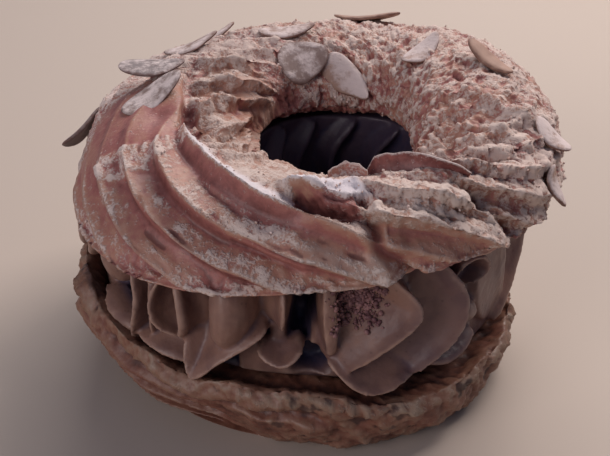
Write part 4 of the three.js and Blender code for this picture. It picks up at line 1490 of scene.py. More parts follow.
@dataclass
class AlmondFlakes:
    """Flaked almonds baked onto the upper half."""

    form: CapForm = CapForm()
    thickness: float = 0.95
    sides: int = 44
    rings: int = 9
    flakes: tuple[Flake, ...] = (
        Flake(75, 64, 15, 6, -14, 4, 1.2, 0.1, 0.05),
        Flake(169.3, 18, 11.2, 6, 39.7, -27, 1.8, 0.9, 0.15),
        Flake(188, 85.5, 13, 9, 19.5, 16.7, 0.7, 0.7, 0.6),
        Flake(171.8, 84, 12.7, 10, 7.5, -14, 2.4, 1.0, 0.5),
        Flake(143, 84, 12, 7, 5, 6, 0.8, 0.5, 0.6),
        Flake(118, 144, 10.5, 9, 30, 8, 0.6, 0.7, 0.5),
        Flake(92, 158, 12, 6.5, -45, 6, 0.5, 0.2, 0.85),
        Flake(112, 104, 12, 6, 8, 6, 0.6, 0.4, 0.6),
        Flake(42, 116, 9.5, 6, 30, 10, 0.6, 0.1, 0.8),
        Flake(15, 88, 11, 4.6, -36, -12, 1.2, 0.0, 0.0),
        Flake(347.6, 40, 9, 6.5, -30, 21, 0.9, 0.1, 0.8),
        Flake(337.7, 13.5, 8.2, 5.3, -36, 10.5, 1.3, 0.1, 0.85),
        Flake(128, 74, 9, 6, 10, 8, 0.6, 0.3, 0.6),
    )

    def _slice(self, flake: Flake, seed: int) -> Shell:
        """Closed shell of one flake.

        Args:
            flake: The flake.
            seed: Seed of its uneven outline.

        Returns:
            The shell with its layers.
        """
        rng = np.random.default_rng(seed)
        a = np.arange(self.sides) * 2 * np.pi / self.sides
        waves = sum(
            rng.uniform(-0.035, 0.035) * np.cos(k * a + rng.uniform(0, 6)) for k in (2, 3, 5)
        )
        share = np.sin(np.linspace(0, 0.5 * np.pi, self.rings + 1))[1:, None]
        outline_x = 0.5 * flake.long * np.cos(a) * (1 + waves)
        outline_y = 0.5 * flake.wide * np.sin(a) * (1 - 0.22 * np.cos(a)) * (1 + waves)
        x, y = share * outline_x, share * outline_y
        shaped = flake.curl * ((x / (0.5 * flake.long)) ** 2 - 0.5 * (y / (0.5 * flake.wide)) ** 2)
        sway = rng.uniform(-0.3, 0.3) * np.sin(x / flake.long * 5)
        half = 0.5 * self.thickness * np.sqrt(np.clip(1.02 - share**8, 0, 1))
        middle = shaped + sway
        top = np.stack([x, y, middle + half], -1)
        low = np.stack([x, y, middle - half], -1)[::-1][1:]
        rim = np.broadcast_to(share, x.shape)
        pole = np.array([[0, 0, 0.5 * self.thickness]])
        points = [pole, top.reshape(-1, 3), low.reshape(-1, 3), -pole]
        edge = np.concatenate([[0.0], rim.ravel(), rim[::-1][1:].ravel(), [0.0]])
        local = self._placed(flake, np.concatenate(points))
        last = 1 + 2 * (self.rings - 1) * self.sides
        faces: list[Face] = []
        for side in range(self.sides):
            after = (side + 1) % self.sides
            faces.append((0, 1 + side, 1 + after))
            faces.append((len(local) - 1, last + after, last + side))
            for near in range(1, last, self.sides):
                far = near + self.sides
                faces.append((near + side, far + side, far + after, near + after))
        ones = np.ones(len(local))
        layers = {"edge": edge, "sugar": flake.sugar * ones, "tone": flake.tone * ones}
        return outward(Shell(local, faces, layers))

    def _placed(self, flake: Flake, local: Array) -> Array:
        """Turns and moves a flake's points onto the upper half.

        Args:
            flake: The flake.
            local: Points about its own middle.

        Returns:
            Points in the frame of the pastry.
        """
        cos, sin = np.cos(radians(-flake.tip)), np.sin(radians(-flake.tip))
        about_y = np.array([[cos, 0, sin], [0, 1, 0], [-sin, 0, cos]])
        cos, sin = np.cos(radians(flake.spin)), np.sin(radians(flake.spin))
        about_z = np.array([[cos, -sin, 0], [sin, cos, 0], [0, 0, 1]])
        normal = self.form.normal(flake.angle, flake.turn)
        lean = np.array(Vector((0, 0, 1)).rotation_difference(Vector(normal)).to_matrix())
        middle = self.form.spot(flake.angle, flake.turn) + flake.lift * normal
        return local @ (lean @ about_z @ about_y).T + middle

    def build(self) -> Piece:
        """Makes all flakes as one piece."""
        shells = [self._slice(flake, 100 + index) for index, flake in enumerate(self.flakes)]
        return join_shells(shells).to_object("almond_flakes")


@dataclass(frozen=True)
class Skin:
    """Thin blistered skin on the upper half: angle, turn and height along its foot."""

    places: tuple[Triple, ...]
    lean: float
    thickness: float = 0.7
    sugar: float = 0.12
    toast: float = 0.82


@dataclass
class BlisteredSkins:
    """Leaf-thin blisters of crust along the near right of the hole."""

    form: CapForm = CapForm()
    steps: int = 48
    levels: int = 12
    skins: tuple[Skin, ...] = (
        Skin((
            (280, 94, 1.0), (283, 93, 3.0), (287, 91, 3.6), (291, 87, 3.3), (295, 80, 2.8),
            (299, 71, 2.8), (303, 64, 2.5), (306, 60, 1.7), (308.5, 58, 0.8),
        ), 0.1),
        Skin(((267, 92, 0.8), (271, 92, 2.2), (275, 91, 2.4), (280, 88, 1.0)), 0.3, 0.6, 0.5, 0.5),
    )

    def _leaf(self, skin: Skin) -> Shell:
        """Closed shell of one skin.

        Args:
            skin: The skin.

        Returns:
            The shell with the layers of the crust.
        """
        knots = np.linspace(0, 1, len(skin.places))
        share = np.linspace(0, 1, self.steps)
        angle, turn, size = (np.interp(share, knots, values) for values in zip(*skin.places))
        foot = self.form.point(angle, turn, -1.5)
        out = np.stack([self.form.normal(a, t) for a, t in zip(angle, turn)])
        along = np.gradient(foot, axis=0)
        along /= np.linalg.norm(along, axis=1, keepdims=True)
        side = np.cross(out, along)
        size = size + 0.25 * np.sin(17 * share) * np.sin(np.pi * share)
        level = np.linspace(0, 1, self.levels)[None, :, None]
        rise = (1.5 + size[:, None, None]) * level
        bow = skin.lean * rise + 0.8 * np.sin(np.pi * level) * (size[:, None, None] / size.max())
        middle = foot[:, None] + out[:, None] * rise + side[:, None] * bow
        half = 0.5 * skin.thickness * (1 - 0.55 * level) * side[:, None]
        section = np.concatenate([middle + half, (middle - half)[:, ::-1]], 1)
        columns = section.shape[1]
        up = np.concatenate([level[0, :, 0], level[0, ::-1, 0]])
        edge = np.broadcast_to(up, (self.steps, columns)).ravel()
        layers = {
            "sugar": skin.sugar + 0.75 * smooth(edge, 0.86, 1.0),
            "toast": skin.toast * np.ones_like(edge),
            "cool": 0.2 * np.ones_like(edge),
            "pit_and_shade": np.zeros_like(edge),
        }
        return outward(Shell(section.reshape(-1, 3), bar_faces(self.steps, columns), layers))

    def build(self) -> Piece:
        """Makes the skins as one piece."""
        return join_shells([self._leaf(skin) for skin in self.skins]).to_object("blistered_skins")


# ---- form of the lower half


@dataclass(frozen=True)
class BaseForm:
    """Form of the lower choux half, with the sizes that its solid has."""

    outer_centre: Plan = (0.0, 0.0)
    hole_centre: Plan = (7.0, 0.0)
    outer_radius: RingTable = RingTable((45, 45, 45, 45, 45, 44, 43, 42.5, 43.5, 45, 47.5, 47.2))
    hole_radius: float = 14.5
    rim_height: RingTable = RingTable((14, 16, 17, 17, 18, 20, 20.5, 17.5, 16.5, 16, 12, 12))
    knob: Triple = (199.0, 11.0, 4.0)
    slant: RingTable = RingTable((0.1, 0, 0, 0, 0, 0.1, 0.3, 0.55, 0.8, 0.35, 0.1, 0.15))
    inner_rim: float = 13.0
    floor_height: RingTable = RingTable((10, 9, 9, 9, 10, 12.5, 15, 15, 14, 13.5, 10.8, 10.5))
    foot: float = 0.5
    widest: float = 0.85
    bowl_from: float = 0.6
    bowl_to: float = 0.94
    tube_half: float = 15.0
    rim_uneven: float = 0.9

    def rims(self, angle: Array) -> tuple[Array, Array]:
        """Outer and inner edge of the ring in the plan."""
        outer = plan_point(self.outer_centre, self.outer_radius.at(angle), angle)
        return outer, plan_point(self.hole_centre, self.hole_radius, angle)

    def rim(self, angle: Array) -> Array:
        """Height of the outer rim, as uneven as a torn edge."""
        middle, wide, high = self.knob
        knob = high * bump(between(angle, middle), wide)
        return self.rim_height.at(angle) + knob + self.rim_uneven * uneven(angle * 1.5, 90.0)

    def bowl(self, angle: Array, across: Array) -> Array:
        """Height of the hollowed upper face at a place across the section."""
        edge = np.where(across > 0, self.rim(angle), self.inner_rim)
        floor = np.minimum(self.floor_height.at(angle), edge)
        return lerp(floor, edge, smooth(np.abs(across), self.bowl_from, self.bowl_to))

    def across(self, points: Array) -> tuple[Array, Array]:
        """Angle and place across the section of points of the plan.

        Args:
            points: Points with x and y first.

        Returns:
            Angle round the ring and place across, -1 at the hole and 1 outside.
        """
        angle = angle_about(self.outer_centre, points)
        outer, inner = self.rims(angle)
        breadth = outer - inner
        share = np.sum((points[:, :2] - inner) * breadth, axis=1) / np.sum(breadth**2, axis=1)
        return angle, 2 * share - 1

    def point(self, angle: Array, across: Array, height: Array) -> Array:
        """Points from places across the section and heights."""
        outer, inner = self.rims(angle)
        return at_height(inner + (outer - inner) * (0.5 * (1 + across))[..., None], height)


@dataclass
class BaseChoux:
    """Lower choux half: sweeping ridges on the left, a crumbly torn rim."""

    form: BaseForm = BaseForm()
    rows: int = 460
    wall: int = 60
    lip: int = 5
    bowl: int = 40
    inner: int = 16
    lip_edge: float = 0.93
    bowl_edges: Pair = (0.92, -0.93)

    def _relief(self, angle: Array, share: Array) -> Array:
        """Ridges that sweep down the left of the wall, and dimples elsewhere."""
        sweep = bump(between(angle, 226.0), 62.0)
        phase = share * 3.4 + between(angle, 222.0) * 0.030 + 0.06 * np.sin(radians(7 * angle))
        wave = phase - np.floor(phase)
        gentle = (np.maximum(wave - 0.3, 0) / 0.7) ** 1.6
        ridge = sweep * (2.6 * np.where(wave < 0.3, 1 - wave / 0.3, gentle) - 1.2)
        height = share * share * self.form.rim(angle)
        lip = bump(between(angle, 262), 24)
        undercut = -2.6 * lip * bump(height - self.form.rim(angle) + 4.2, 2.6)
        knob = 1.6 * bump(between(angle, 200), 10) * smooth(share, 0.5, 0.8)
        dent = -2.4 * bump(between(angle, 245), 22) * (1 - smooth(share, 0.6, 0.95))
        rough = 1.1 * uneven(angle * 2, 150 * share) * (1 - sweep)
        return ridge * (1 - lip) + undercut + knob + dent + rough

    def build(self) -> Piece:
        """Makes the piece with its layers."""
        form = self.form
        angle = (np.arange(self.rows) * FULL_TURN / self.rows)[:, None]
        rim = form.rim(angle)
        share = np.linspace(0, 1, self.wall)[None, :]
        swing = 0.5 * np.pi * share
        relief = self._relief(angle, share) * smooth(share, 0, 0.12) / form.tube_half
        slanted = lerp(np.sin(swing), 1 - np.cos(swing), form.slant.at(angle))
        wall_across = lerp(form.foot, 1.0, slanted) + relief
        wall_height = form.widest * rim * (1 - np.cos(swing))
        lip_share = np.linspace(0, 1, self.lip + 1)[None, 1:]
        lip_across = lerp(wall_across[:, -1:], self.lip_edge, smooth(lip_share, 0, 1))
        lip_height = lerp(form.widest * rim, rim, np.sin(0.5 * np.pi * lip_share))
        bowl_across = np.linspace(*self.bowl_edges, self.bowl)[None, :] + 0 * angle
        bowl_height = form.bowl(angle, bowl_across)
        inner_share = np.linspace(1, 0, self.inner)[None, :]
        inner_swing = 0.5 * np.pi * inner_share
        inner_across = -lerp(form.foot, 1.0, np.sin(inner_swing)) + 0 * angle
        inner_height = form.widest * form.inner_rim * (1 - np.cos(inner_swing)) + 0 * angle
        across = np.concatenate([wall_across, lip_across, bowl_across, inner_across], 1)
        height = np.concatenate([wall_height, lip_height, bowl_height, inner_height], 1)
        columns = across.shape[1]
        spread = np.broadcast_to(angle, across.shape)
        points = form.point(spread, across, height).reshape(-1, 3)
        shell = topside_up(Shell(points, ring_faces(self.rows, columns)))
        piece = shell.to_object("base_choux_shell")
        place = np.broadcast_to(np.arange(columns)[None, :], across.shape).ravel()
        self._roughen(piece, spread.ravel(), place)
        return piece

    def _roughen(self, piece: Piece, angle: Array, column: Array) -> None:
        """Adds crumbs and dimples, keeps the foot flat and paints the layers.

        Args:
            piece: The smooth shell.
            angle: Place of each vertex round the ring.
            column: Place of each vertex in its section.
        """
        grain = Grain(19)
        points, normals = mesh_points(piece), mesh_normals(piece)
        sweep = bump(between(angle, 222.0), 65.0)
        outside = column < self.wall + 3
        torn = smooth(-np.abs(column - self.wall - 1.0), -6, 0)
        coarse = grain.fractal(points, 4.2, 3)
        fine = grain.fractal(points + 31, 1.3, 3)
        near, _ = grain.lumps(points, 3.0)
        knob = bump(between(angle, 200), 13) * smooth(points[:, 2], 12, 18)
        crumbly = np.clip(1 - 0.75 * sweep + knob, 0, 1.3)
        amount = crumbly * (0.5 * coarse + 0.28 * fine - 0.35 * np.clip(1 - 2.0 * near, 0, 1))
        amount += 0.10 * fine + torn * 0.5 * fine
        above = smooth(points[:, 2], 0.0, 2.0)
        set_points(piece, points + normals * (amount * above)[:, None])
        raised = standing_out(piece, 14, 0.35)
        pits = np.where(outside, crumbly * smooth(-coarse, 0.25, 0.8), 0.35)
        # Painted shade in creases that sink below their surroundings; darker on the knob too.
        pits = pits + 0.5 * np.clip(-raised, 0, 1) + 0.5 * knob
        # More sugar where the crust stands out, a painted highlight, and less in creases, painted
        # shade.
        sugar = np.where(outside, 0.06 + 0.14 * torn, 0.0) + 0.1 * coarse + 0.12 * raised
        sugar = sugar - 0.2 * knob - 0.22 * sweep
        toast = np.where(outside, 0.48 + 0.16 * sweep, 0.55) + 0.20 * coarse
        # Paler toast where the crust stands out, a painted highlight, and deeper in creases,
        # painted shade.
        toast = toast - 0.16 * torn - 0.22 * raised
        add_layers(piece, {"sugar": sugar, "toast": toast, "cool": 0 * sugar, "pit_and_shade": pits})


# ---- praline cream


class FoldKind(Enum):
    """Section of a fold: shares of its breadth and reach, and a foot sunk in the core."""

    RIBBON = (
        (-1.0, -1.0), (-0.92, 0.0), (-0.74, 0.14), (-0.52, 0.32), (-0.32, 0.56), (-0.16, 0.82),
        (0.0, 0.97), (0.2, 1.0), (0.36, 0.92), (0.42, 0.78), (0.38, 0.6), (0.36, 0.4), (0.5, 0.18),
        (0.8, 0.0), (1.0, -1.0),
    )
    LOBE = (
        (-1.0, -1.0), (-1.02, 0.0), (-0.97, 0.3), (-0.84, 0.58), (-0.62, 0.8), (-0.33, 0.94),
        (0.0, 1.0), (0.33, 0.94), (0.62, 0.8), (0.84, 0.58), (0.97, 0.3), (1.02, 0.0), (1.0, -1.0),
    )


@dataclass(frozen=True)
class Fold:
    """A rib of cream along a path of angles and heights on the wall of the core."""

    path: Places
    reach: float
    before: float
    after: float
    kind: FoldKind = FoldKind.RIBBON


@dataclass(frozen=True)
class Hollow:
    """A gap between folds: angle, height, breadths in degrees and millimetres, depth."""

    angle: float
    height: float
    wide: float
    high: float
    depth: float


@dataclass
class PralineCream:
    """Piped cream: a core ring and the folds that stand out from it."""

    cap: CapForm = CapForm()
    base: BaseForm = BaseForm()
    centre: Plan = (3.5, 0.0)
    outer_radius: RingTable = RingTable(
        (39.6, 39.6, 39.5, 39.5, 40, 40.5, 41, 40.6, 38.9, 38, 38.3, 38.7)
    )
    hole_centre: Plan = (10.0, 0.0)
    hole_radius: float = 18.5
    gap: float = 0.35
    voxel: float = 0.42
    steps: int = 26
    end_size: float = 0.35
    sink: float = 3.0
    core_rows: int = 360
    core_levels: int = 28
    core_floor: tuple[float, ...] = (0.15, 0.35, 0.6, 0.8, 0.9)
    core_roof: tuple[float, ...] = (-75.0, -90.0, -110.0)
    covered_to: float = 1.03
    carried_to: float = 0.97
    gap_soft: float = 1.7
    front: tuple[Fold, ...] = (
        Fold(((213, 38), (215, 33), (214, 27)), 5.0, 5, 4, FoldKind.LOBE),
        Fold(((224, 37), (226.5, 27), (221, 16.5)), 6.0, 4.6, 1.6),
        Fold(((229, 37), (230, 28), (227.4, 19)), 4.8, 1.8, 1.6),
        Fold(((234, 36), (230.6, 29), (231.8, 24), (236.4, 21.4)), 5.6, 1.7, 1.6),
        Fold(((236, 36), (238.8, 31), (239.2, 26), (236.6, 22)), 6.2, 1.5, 3.6),
        Fold(((250.6, 39), (251.6, 31), (249.4, 22.5)), 8.0, 4.3, 4.0, FoldKind.LOBE),
        Fold(((260, 26.5), (250, 21.5), (242.4, 16.6), (239.2, 24)), 7.0, 6.5, 1.5),
        Fold(((264.2, 39), (264.6, 33), (264.0, 27)), 6.8, 5.0, 0.9),
        Fold(((286, 40), (295.6, 31), (290, 25.5), (278, 17.5)), 7.4, 11.5, 1.4),
        Fold(((273.8, 39), (273.6, 30), (275.0, 21)), 4.8, 0.9, 6.0),
        Fold(((302, 39), (309, 30), (306.8, 22), (297, 14.5)), 6.8, 8.5, 1.6),
        Fold(((298, 15.4), (285, 14.6), (275, 20)), 6.2, 5.5, 1.6),
        Fold(((309.4, 32), (311, 35.4), (316, 35.2), (319.4, 31.4), (315.4, 28.6)), 5.4, 1.4, 1.4),
        Fold(((309, 27), (314, 23.5), (320, 22)), 4.2, 2.6, 2.4, FoldKind.LOBE),
        Fold(((334, 37), (337, 26), (340, 15)), 2.2, 12.0, 2.4),
        Fold(((241, 17), (232, 18.6), (221, 19)), 5.0, 3.6, 1.6),
        Fold(((219, 16.5), (209, 17), (199, 18.5)), 3.0, 2.0, 2.0, FoldKind.LOBE),
        Fold(((269, 22.6), (263.6, 20.6), (257, 22)), 5.0, 2.4, 1.4),
        Fold(((322, 16), (310, 14.5), (300, 16)), 3.4, 3.4, 2.0),
    )
    hollows: tuple[Hollow, ...] = (
        Hollow(269.8, 35.0, 3.4, 6.5, 10.0),
        Hollow(267.6, 25.4, 2.6, 3.2, 8.0),
        Hollow(271.0, 18.5, 4.5, 2.4, 5.0),
        Hollow(210.0, 22.0, 8.5, 6.0, 6.0),
        Hollow(243.8, 33.0, 2.6, 6.5, 4.5),
        Hollow(257.8, 31.0, 1.8, 7.0, 6.0),
        Hollow(235.2, 28.0, 1.8, 4.5, 3.0),
        Hollow(307.6, 37.0, 3.0, 4.5, 8.0),
        Hollow(312.0, 19.0, 6.0, 3.6, 5.0),
        Hollow(247.0, 17.0, 3.0, 3.0, 3.0),
    )
    others_from: float = 348.0
    others_to: float = 562.0
    others_step: float = 10.5
    hole_folds: int = 13
    # Painted shade: millimetres inside the core's wall at which crevices are fully dark, then the
    # angles and strength of the painted shade on the front right folds.
    painted_shade_depth: float = 6.0
    shaded: Pair = (286.0, 330.0)
    shade: float = 0.60

    def _wall(self, angle: Array, height: Array) -> Array:
        """Points on the core's outer wall."""
        return at_height(plan_point(self.centre, self.outer_radius.at(angle), angle), height)

    def _hole_wall(self, angle: Array, height: Array) -> Array:
        """Points on the core's wall inside the hole."""
        return at_height(plan_point(self.hole_centre, self.hole_radius, angle), height)

    def _rib(self, knots: Array, axis: Plan, sign: float, fold: Fold) -> Shell:
        """Closed shell of one fold.

        Args:
            knots: Points of its path.
            axis: Upright axis that it stands away from.
            sign: 1 for away from the axis, -1 for towards it.
            fold: Its sizes.

        Returns:
            The shell.
        """
        share = np.linspace(0, 1, self.steps)
        path = self._curve(knots, share)
        tangent = np.gradient(path, axis=0)
        tangent /= np.linalg.norm(tangent, axis=1, keepdims=True)
        normal = np.zeros_like(path)
        normal[:, :2] = sign * (path[:, :2] - np.array(axis))
        normal /= np.linalg.norm(normal, axis=1, keepdims=True)
        side = np.cross(normal, tangent)
        side /= np.linalg.norm(side, axis=1, keepdims=True)
        full = np.sin(np.pi * np.clip(share, 0.001, 0.999)) ** 0.5
        swell = lerp(self.end_size, 1.0, full)[:, None, None]
        section = np.array(fold.kind.value)
        breadth, height = section[None, :, :1], section[None, :, 1:]
        out = np.where(height < 0, height * self.sink, height * fold.reach * swell)
        beside = np.where(breadth < 0, fold.before, fold.after) * breadth * swell
        points = path[:, None] + side[:, None] * beside + normal[:, None] * out
        return outward(Shell(points.reshape(-1, 3), bar_faces(self.steps, len(section))))

    @staticmethod
    def _curve(knots: Array, share: Array) -> Array:
        """Smooth curve through a few points.

        Args:
            knots: The points.
            share: Places along it, 0 to 1.

        Returns:
            Points of the curve.
        """
        last = len(knots) - 1
        padded = np.concatenate([[2 * knots[0] - knots[1]], knots, [2 * knots[-1] - knots[-2]]])
        place = np.clip(share * last, 0, last - 1e-9)
        index = np.floor(place).astype(int)
        return curve([padded[index + k] for k in range(4)], (place - index)[:, None])

    def _carved(self, angle: Array, height: Array) -> Array:
        """Radius of the core's outer wall, with the gaps between the folds.

        Args:
            angle: Places round the ring.
            height: Heights.

        Returns:
            The radius at each place.
        """
        radius = self.outer_radius.at(angle)
        for gap in self.hollows:
            beside = bump(between(angle, gap.angle), self.gap_soft * gap.wide)
            inside = beside * bump(height - gap.height, self.gap_soft * gap.high)
            radius = radius - gap.depth * smooth(inside, 0.0, 0.6)
        return radius

    def _core(self) -> Shell:
        """Closed shell of the core."""
        angle = np.arange(self.core_rows) * FULL_TURN / self.core_rows
        floor = self.base.floor_height.at(angle)
        top_out = self.cap.rim_height.at(angle) - self.cap.underside - self.gap
        top_in = self.cap.lip_height.at(angle) - self.cap.underside - self.gap
        down = np.array([0, 0, self.gap])
        rings = []
        for share in np.linspace(0, 1, self.core_levels):
            height = lerp(floor + 2, top_out - 0.5, share)
            plan = plan_point(self.centre, self._carved(angle, height), angle)
            rings.append(at_height(plan, height))
        for turn in self.core_roof:
            rings.append(self.cap.point(angle, np.full(self.core_rows, turn), 0.0) - down)
        rings.append(self._hole_wall(angle, top_in - 1))
        rings.append(self._hole_wall(angle, lerp(floor, top_in, 0.5)))
        rings.append(self._hole_wall(angle, floor + 2))
        for place in self.core_floor:
            low = lerp(self._hole_wall(angle, 0 * angle), self._wall(angle, 0 * angle), place)
            low[:, 2] = floor + self.gap
            rings.append(low)
        points = np.stack(rings, 1).reshape(-1, 3)
        return outward(Shell(points, ring_faces(self.core_rows, len(rings))))

    def _ribs(self) -> list[Shell]:
        """All folds: the front's listed one by one, the rest in a seeded rhythm."""
        rng = np.random.default_rng(41)
        shells = []
        for fold in self.front:
            path = np.array(fold.path, float)
            shells.append(self._rib(self._wall(path[:, 0], path[:, 1]), self.centre, 1.0, fold))
        for angle in np.arange(self.others_from, self.others_to, self.others_step):
            bow = 7.0 + 6.0 * rng.random()
            low = float(self.base.bowl(np.array([angle]), np.array([0.8]))[0]) + 1
            angles = np.array([angle - 0.6 * bow, angle + 0.4 * bow, angle - bow])
            heights = np.array([37.0, 0.5 * (37 + low) + 2 * rng.random(), low])
            fold = Fold((), 4.2 + 1.6 * rng.random(), 6.0, 3.0)
            shells.append(self._rib(self._wall(angles, heights), self.centre, 1.0, fold))
        for index in range(self.hole_folds):
            angle = index * FULL_TURN / self.hole_folds + 8 * rng.random()
            angles = np.array([angle - 10, angle + 8, angle - 12])
            heights = np.array([40.0, 13 + 27 * (0.45 + 0.2 * rng.random()), 13.0])
            fold = Fold((), 2.8, 4.0, 2.5)
            shells.append(self._rib(self._hole_wall(angles, heights), self.hole_centre, -1.0, fold))
        return shells

    def _kept_clear(self, points: Array) -> Array:
        """Moves points out of the two choux halves.

        Args:
            points: Points of the cream.

        Returns:
            The points, below the upper half and above the lower one.
        """
        kept = points.copy()
        angle, across = self.cap.across(points)
        under = self.cap.below(angle, across) - self.gap
        covered = np.abs(across) < self.covered_to
        kept[:, 2] = np.where(covered, np.minimum(kept[:, 2], under), kept[:, 2])
        angle, across = self.base.across(points)
        floor = self.base.bowl(angle, np.clip(across, -1, 1)) + self.gap
        carried = np.abs(across) < self.carried_to
        kept[:, 2] = np.where(carried, np.maximum(kept[:, 2], floor), kept[:, 2])
        return kept

    def build(self) -> Piece:
        """Makes the cream as one smooth piece."""
        shells = [self._core(), *self._ribs()]
        for shell in shells:
            shell.points = self._kept_clear(shell.points)
        piece = join_shells(shells).to_object("praline_cream")
        apply_modifier(piece, "REMESH", mode="VOXEL", voxel_size=self.voxel * MM)
        apply_modifier(piece, "SMOOTH", factor=0.5, iterations=2)
        points = self._kept_clear(mesh_points(piece))
        grain = Grain(23)
        amount = 0.10 * grain.fractal(points, 3.5, 2) + 0.05 * grain.noise(points, 1.2)
        set_points(piece, points + mesh_normals(piece) * amount[:, None])
        piece.data.shade_smooth()
        points = mesh_points(piece)
        angle = angle_about(self.centre, points)
        radius = np.hypot(points[:, 0] - self.centre[0], points[:, 1] - self.centre[1])
        # Painted shade: darker the deeper a point lies inside the core's outer wall, and over the
        # front right folds.
        painted_shade = smooth(self.outer_radius.at(angle) + 2.0 - radius, 0.0, self.painted_shade_depth)
        shaded = smooth(between(angle, self.shaded[0]), 0.0, 10.0)
        shaded = shaded * (1 - smooth(between(angle, self.shaded[1]), 0.0, 20.0))
        painted_shade = np.maximum(painted_shade, self.shade * shaded)
        # The edge layer, how far the cream stands out, carries a painted highlight on crests and
        # painted shade in creases.
        add_layers(piece, {"painted_shade": painted_shade, "edge": standing_out(piece, 10, 0.3)})
        return piece


# ---- scattered crumbs


@dataclass(frozen=True)
class Crumbs:
    """Small uneven lumps that lie on other pieces."""

    seed: int
    smallest: float
    growth: float
    uneven: Pair = (0.84, 1.16)
    stretch: Pair = (0.65, 1.15)
    sunk: float = 0.22
    few_large: float = 2.2
    faces: tuple[Face, ...] = (
        (0, 11, 5), (0, 5, 1), (0, 1, 7), (0, 7, 10), (0, 10, 11), (1, 5, 9), (5, 11, 4),
        (11, 10, 2), (10, 7, 6), (7, 1, 8), (3, 9, 4), (3, 4, 2), (3, 2, 6), (3, 6, 8),
        (3, 8, 9), (4, 9, 5), (2, 4, 11), (6, 2, 10), (8, 6, 7), (9, 8, 1),
    )

    def size(self, draw: Numbers) -> Numbers:
        """Width of a lump for a random number from 0 to 1: few are large."""
        return self.smallest + self.growth * draw**self.few_large

    def _lump(self, rng: np.random.Generator, size: float) -> Array:
        """Corners of one uneven lump about its own middle.

        Args:
            rng: Source of random numbers.
            size: Its width.

        Returns:
            Twelve points for the class's faces.
        """
        golden = 0.5 * (1 + math.sqrt(5))
        first = np.array([(-1, golden, 0), (1, golden, 0), (-1, -golden, 0), (1, -golden, 0)])
        raw = np.concatenate([np.roll(first, axis, axis=1) for axis in range(3)])
        points = raw / math.hypot(1, golden)
        points = points * rng.uniform(*self.uneven, (12, 1)) * rng.uniform(*self.stretch, (1, 3))
        turn, _ = np.linalg.qr(rng.normal(size=(3, 3)))
        if np.linalg.det(turn) < 0:
            turn[:, 0] *= -1
        return 0.5 * size * points @ turn.T

    def scatter(self, name: str, places: Array, normals: Array, sizes: Array) -> Piece:
        """Lumps at given places, as one piece.

        Args:
            name: Name of the piece.
            places: Where each lump lies.
            normals: Direction out of what carries it.
            sizes: Width of each lump.

        Returns:
            The piece.
        """
        rng = np.random.default_rng(self.seed)
        lumps = []
        for place, normal, size in zip(places, normals, sizes):
            corners = self._lump(rng, size) + place + self.sunk * size * normal
            lumps.append(Shell(corners, list(self.faces)))
        piece = join_shells(lumps).to_object(name)
        apply_modifier(piece, "SUBSURF", levels=1)
        return piece

    def on_layer(self, name: str, carrier: Piece, weight: Array, count: int) -> Piece:
        """Lumps strewn over a carrier by a weight for each vertex.

        Args:
            name: Name of the piece.
            carrier: Piece that they lie on.
            weight: Chance of each vertex.
            count: Number of lumps.

        Returns:
            The piece.
        """
        rng = np.random.default_rng(self.seed + 1)
        chosen = rng.choice(len(weight), size=count, replace=False, p=weight / weight.sum())
        places, normals = mesh_points(carrier)[chosen], mesh_normals(carrier)[chosen]
        return self.scatter(name, places, normals, self.size(rng.random(count)))


@dataclass(frozen=True)
class SugarClumps:
    """Clumps of icing sugar where the crust is dusted most."""

    count: int = 700
    dusted_from: float = 0.45
    gathered: float = 1.5
    crumbs: Crumbs = Crumbs(31, 0.25, 0.55)

    def build(self, crust: Piece) -> Piece:
        """Makes the clumps on the finished crust."""
        dusted = np.clip(read_layer(crust, "sugar") - self.dusted_from, 0, None) ** self.gathered
        return self.crumbs.on_layer("sugar_clumps", crust, dusted, self.count)


@dataclass(frozen=True)
class NutPatch:
    """Chopped nuts stuck on the front of the cream."""

    centre: Plan = (3.5, 0.0)
    angles: Pair = (274.0, 290.0)
    heights: Pair = (26.5, 38.5)
    spread: float = 0.42
    outside: float = 60.0
    count: int = 640
    crumbs: Crumbs = Crumbs(11, 0.4, 1.1)

    def build(self, cream: Piece) -> Piece:
        """Makes the patch on the surface of the cream.

        Args:
            cream: The finished cream.

        Returns:
            The piece.
        """
        rng = np.random.default_rng(5)
        tree = BVHTree.FromObject(cream, bpy.context.evaluated_depsgraph_get())
        places, normals, sizes = [], [], []
        while len(places) < self.count:
            u, v = rng.normal(0.0, self.spread, 2)
            if abs(u) > 1 or abs(v) > 1:
                continue
            angle = lerp(*self.angles, 0.5 + 0.5 * u)
            height = lerp(*self.heights, 0.5 + 0.5 * v)
            side = plan_point(self.centre, self.outside, np.array(angle))
            start, middle = to_metres(np.array([[*side, height], [*self.centre, height]]))
            hit, normal, _, _ = tree.ray_cast(Vector(start), Vector(middle - start).normalized())
            if hit is None:
                continue
            places.append(to_millimetres(np.array(hit)))
            normals.append(np.array(normal))
            sizes.append(self.crumbs.size(rng.random()))
        return self.crumbs.scatter("nut_crumbs", *map(np.array, (places, normals, sizes)))


# ---- studio


@dataclass(frozen=True)
class SoftLight:
    """Square light in metres and watts that looks at the pastry."""

    name: str
    place: Triple
    size: float
    watts: float
    colour: Colour


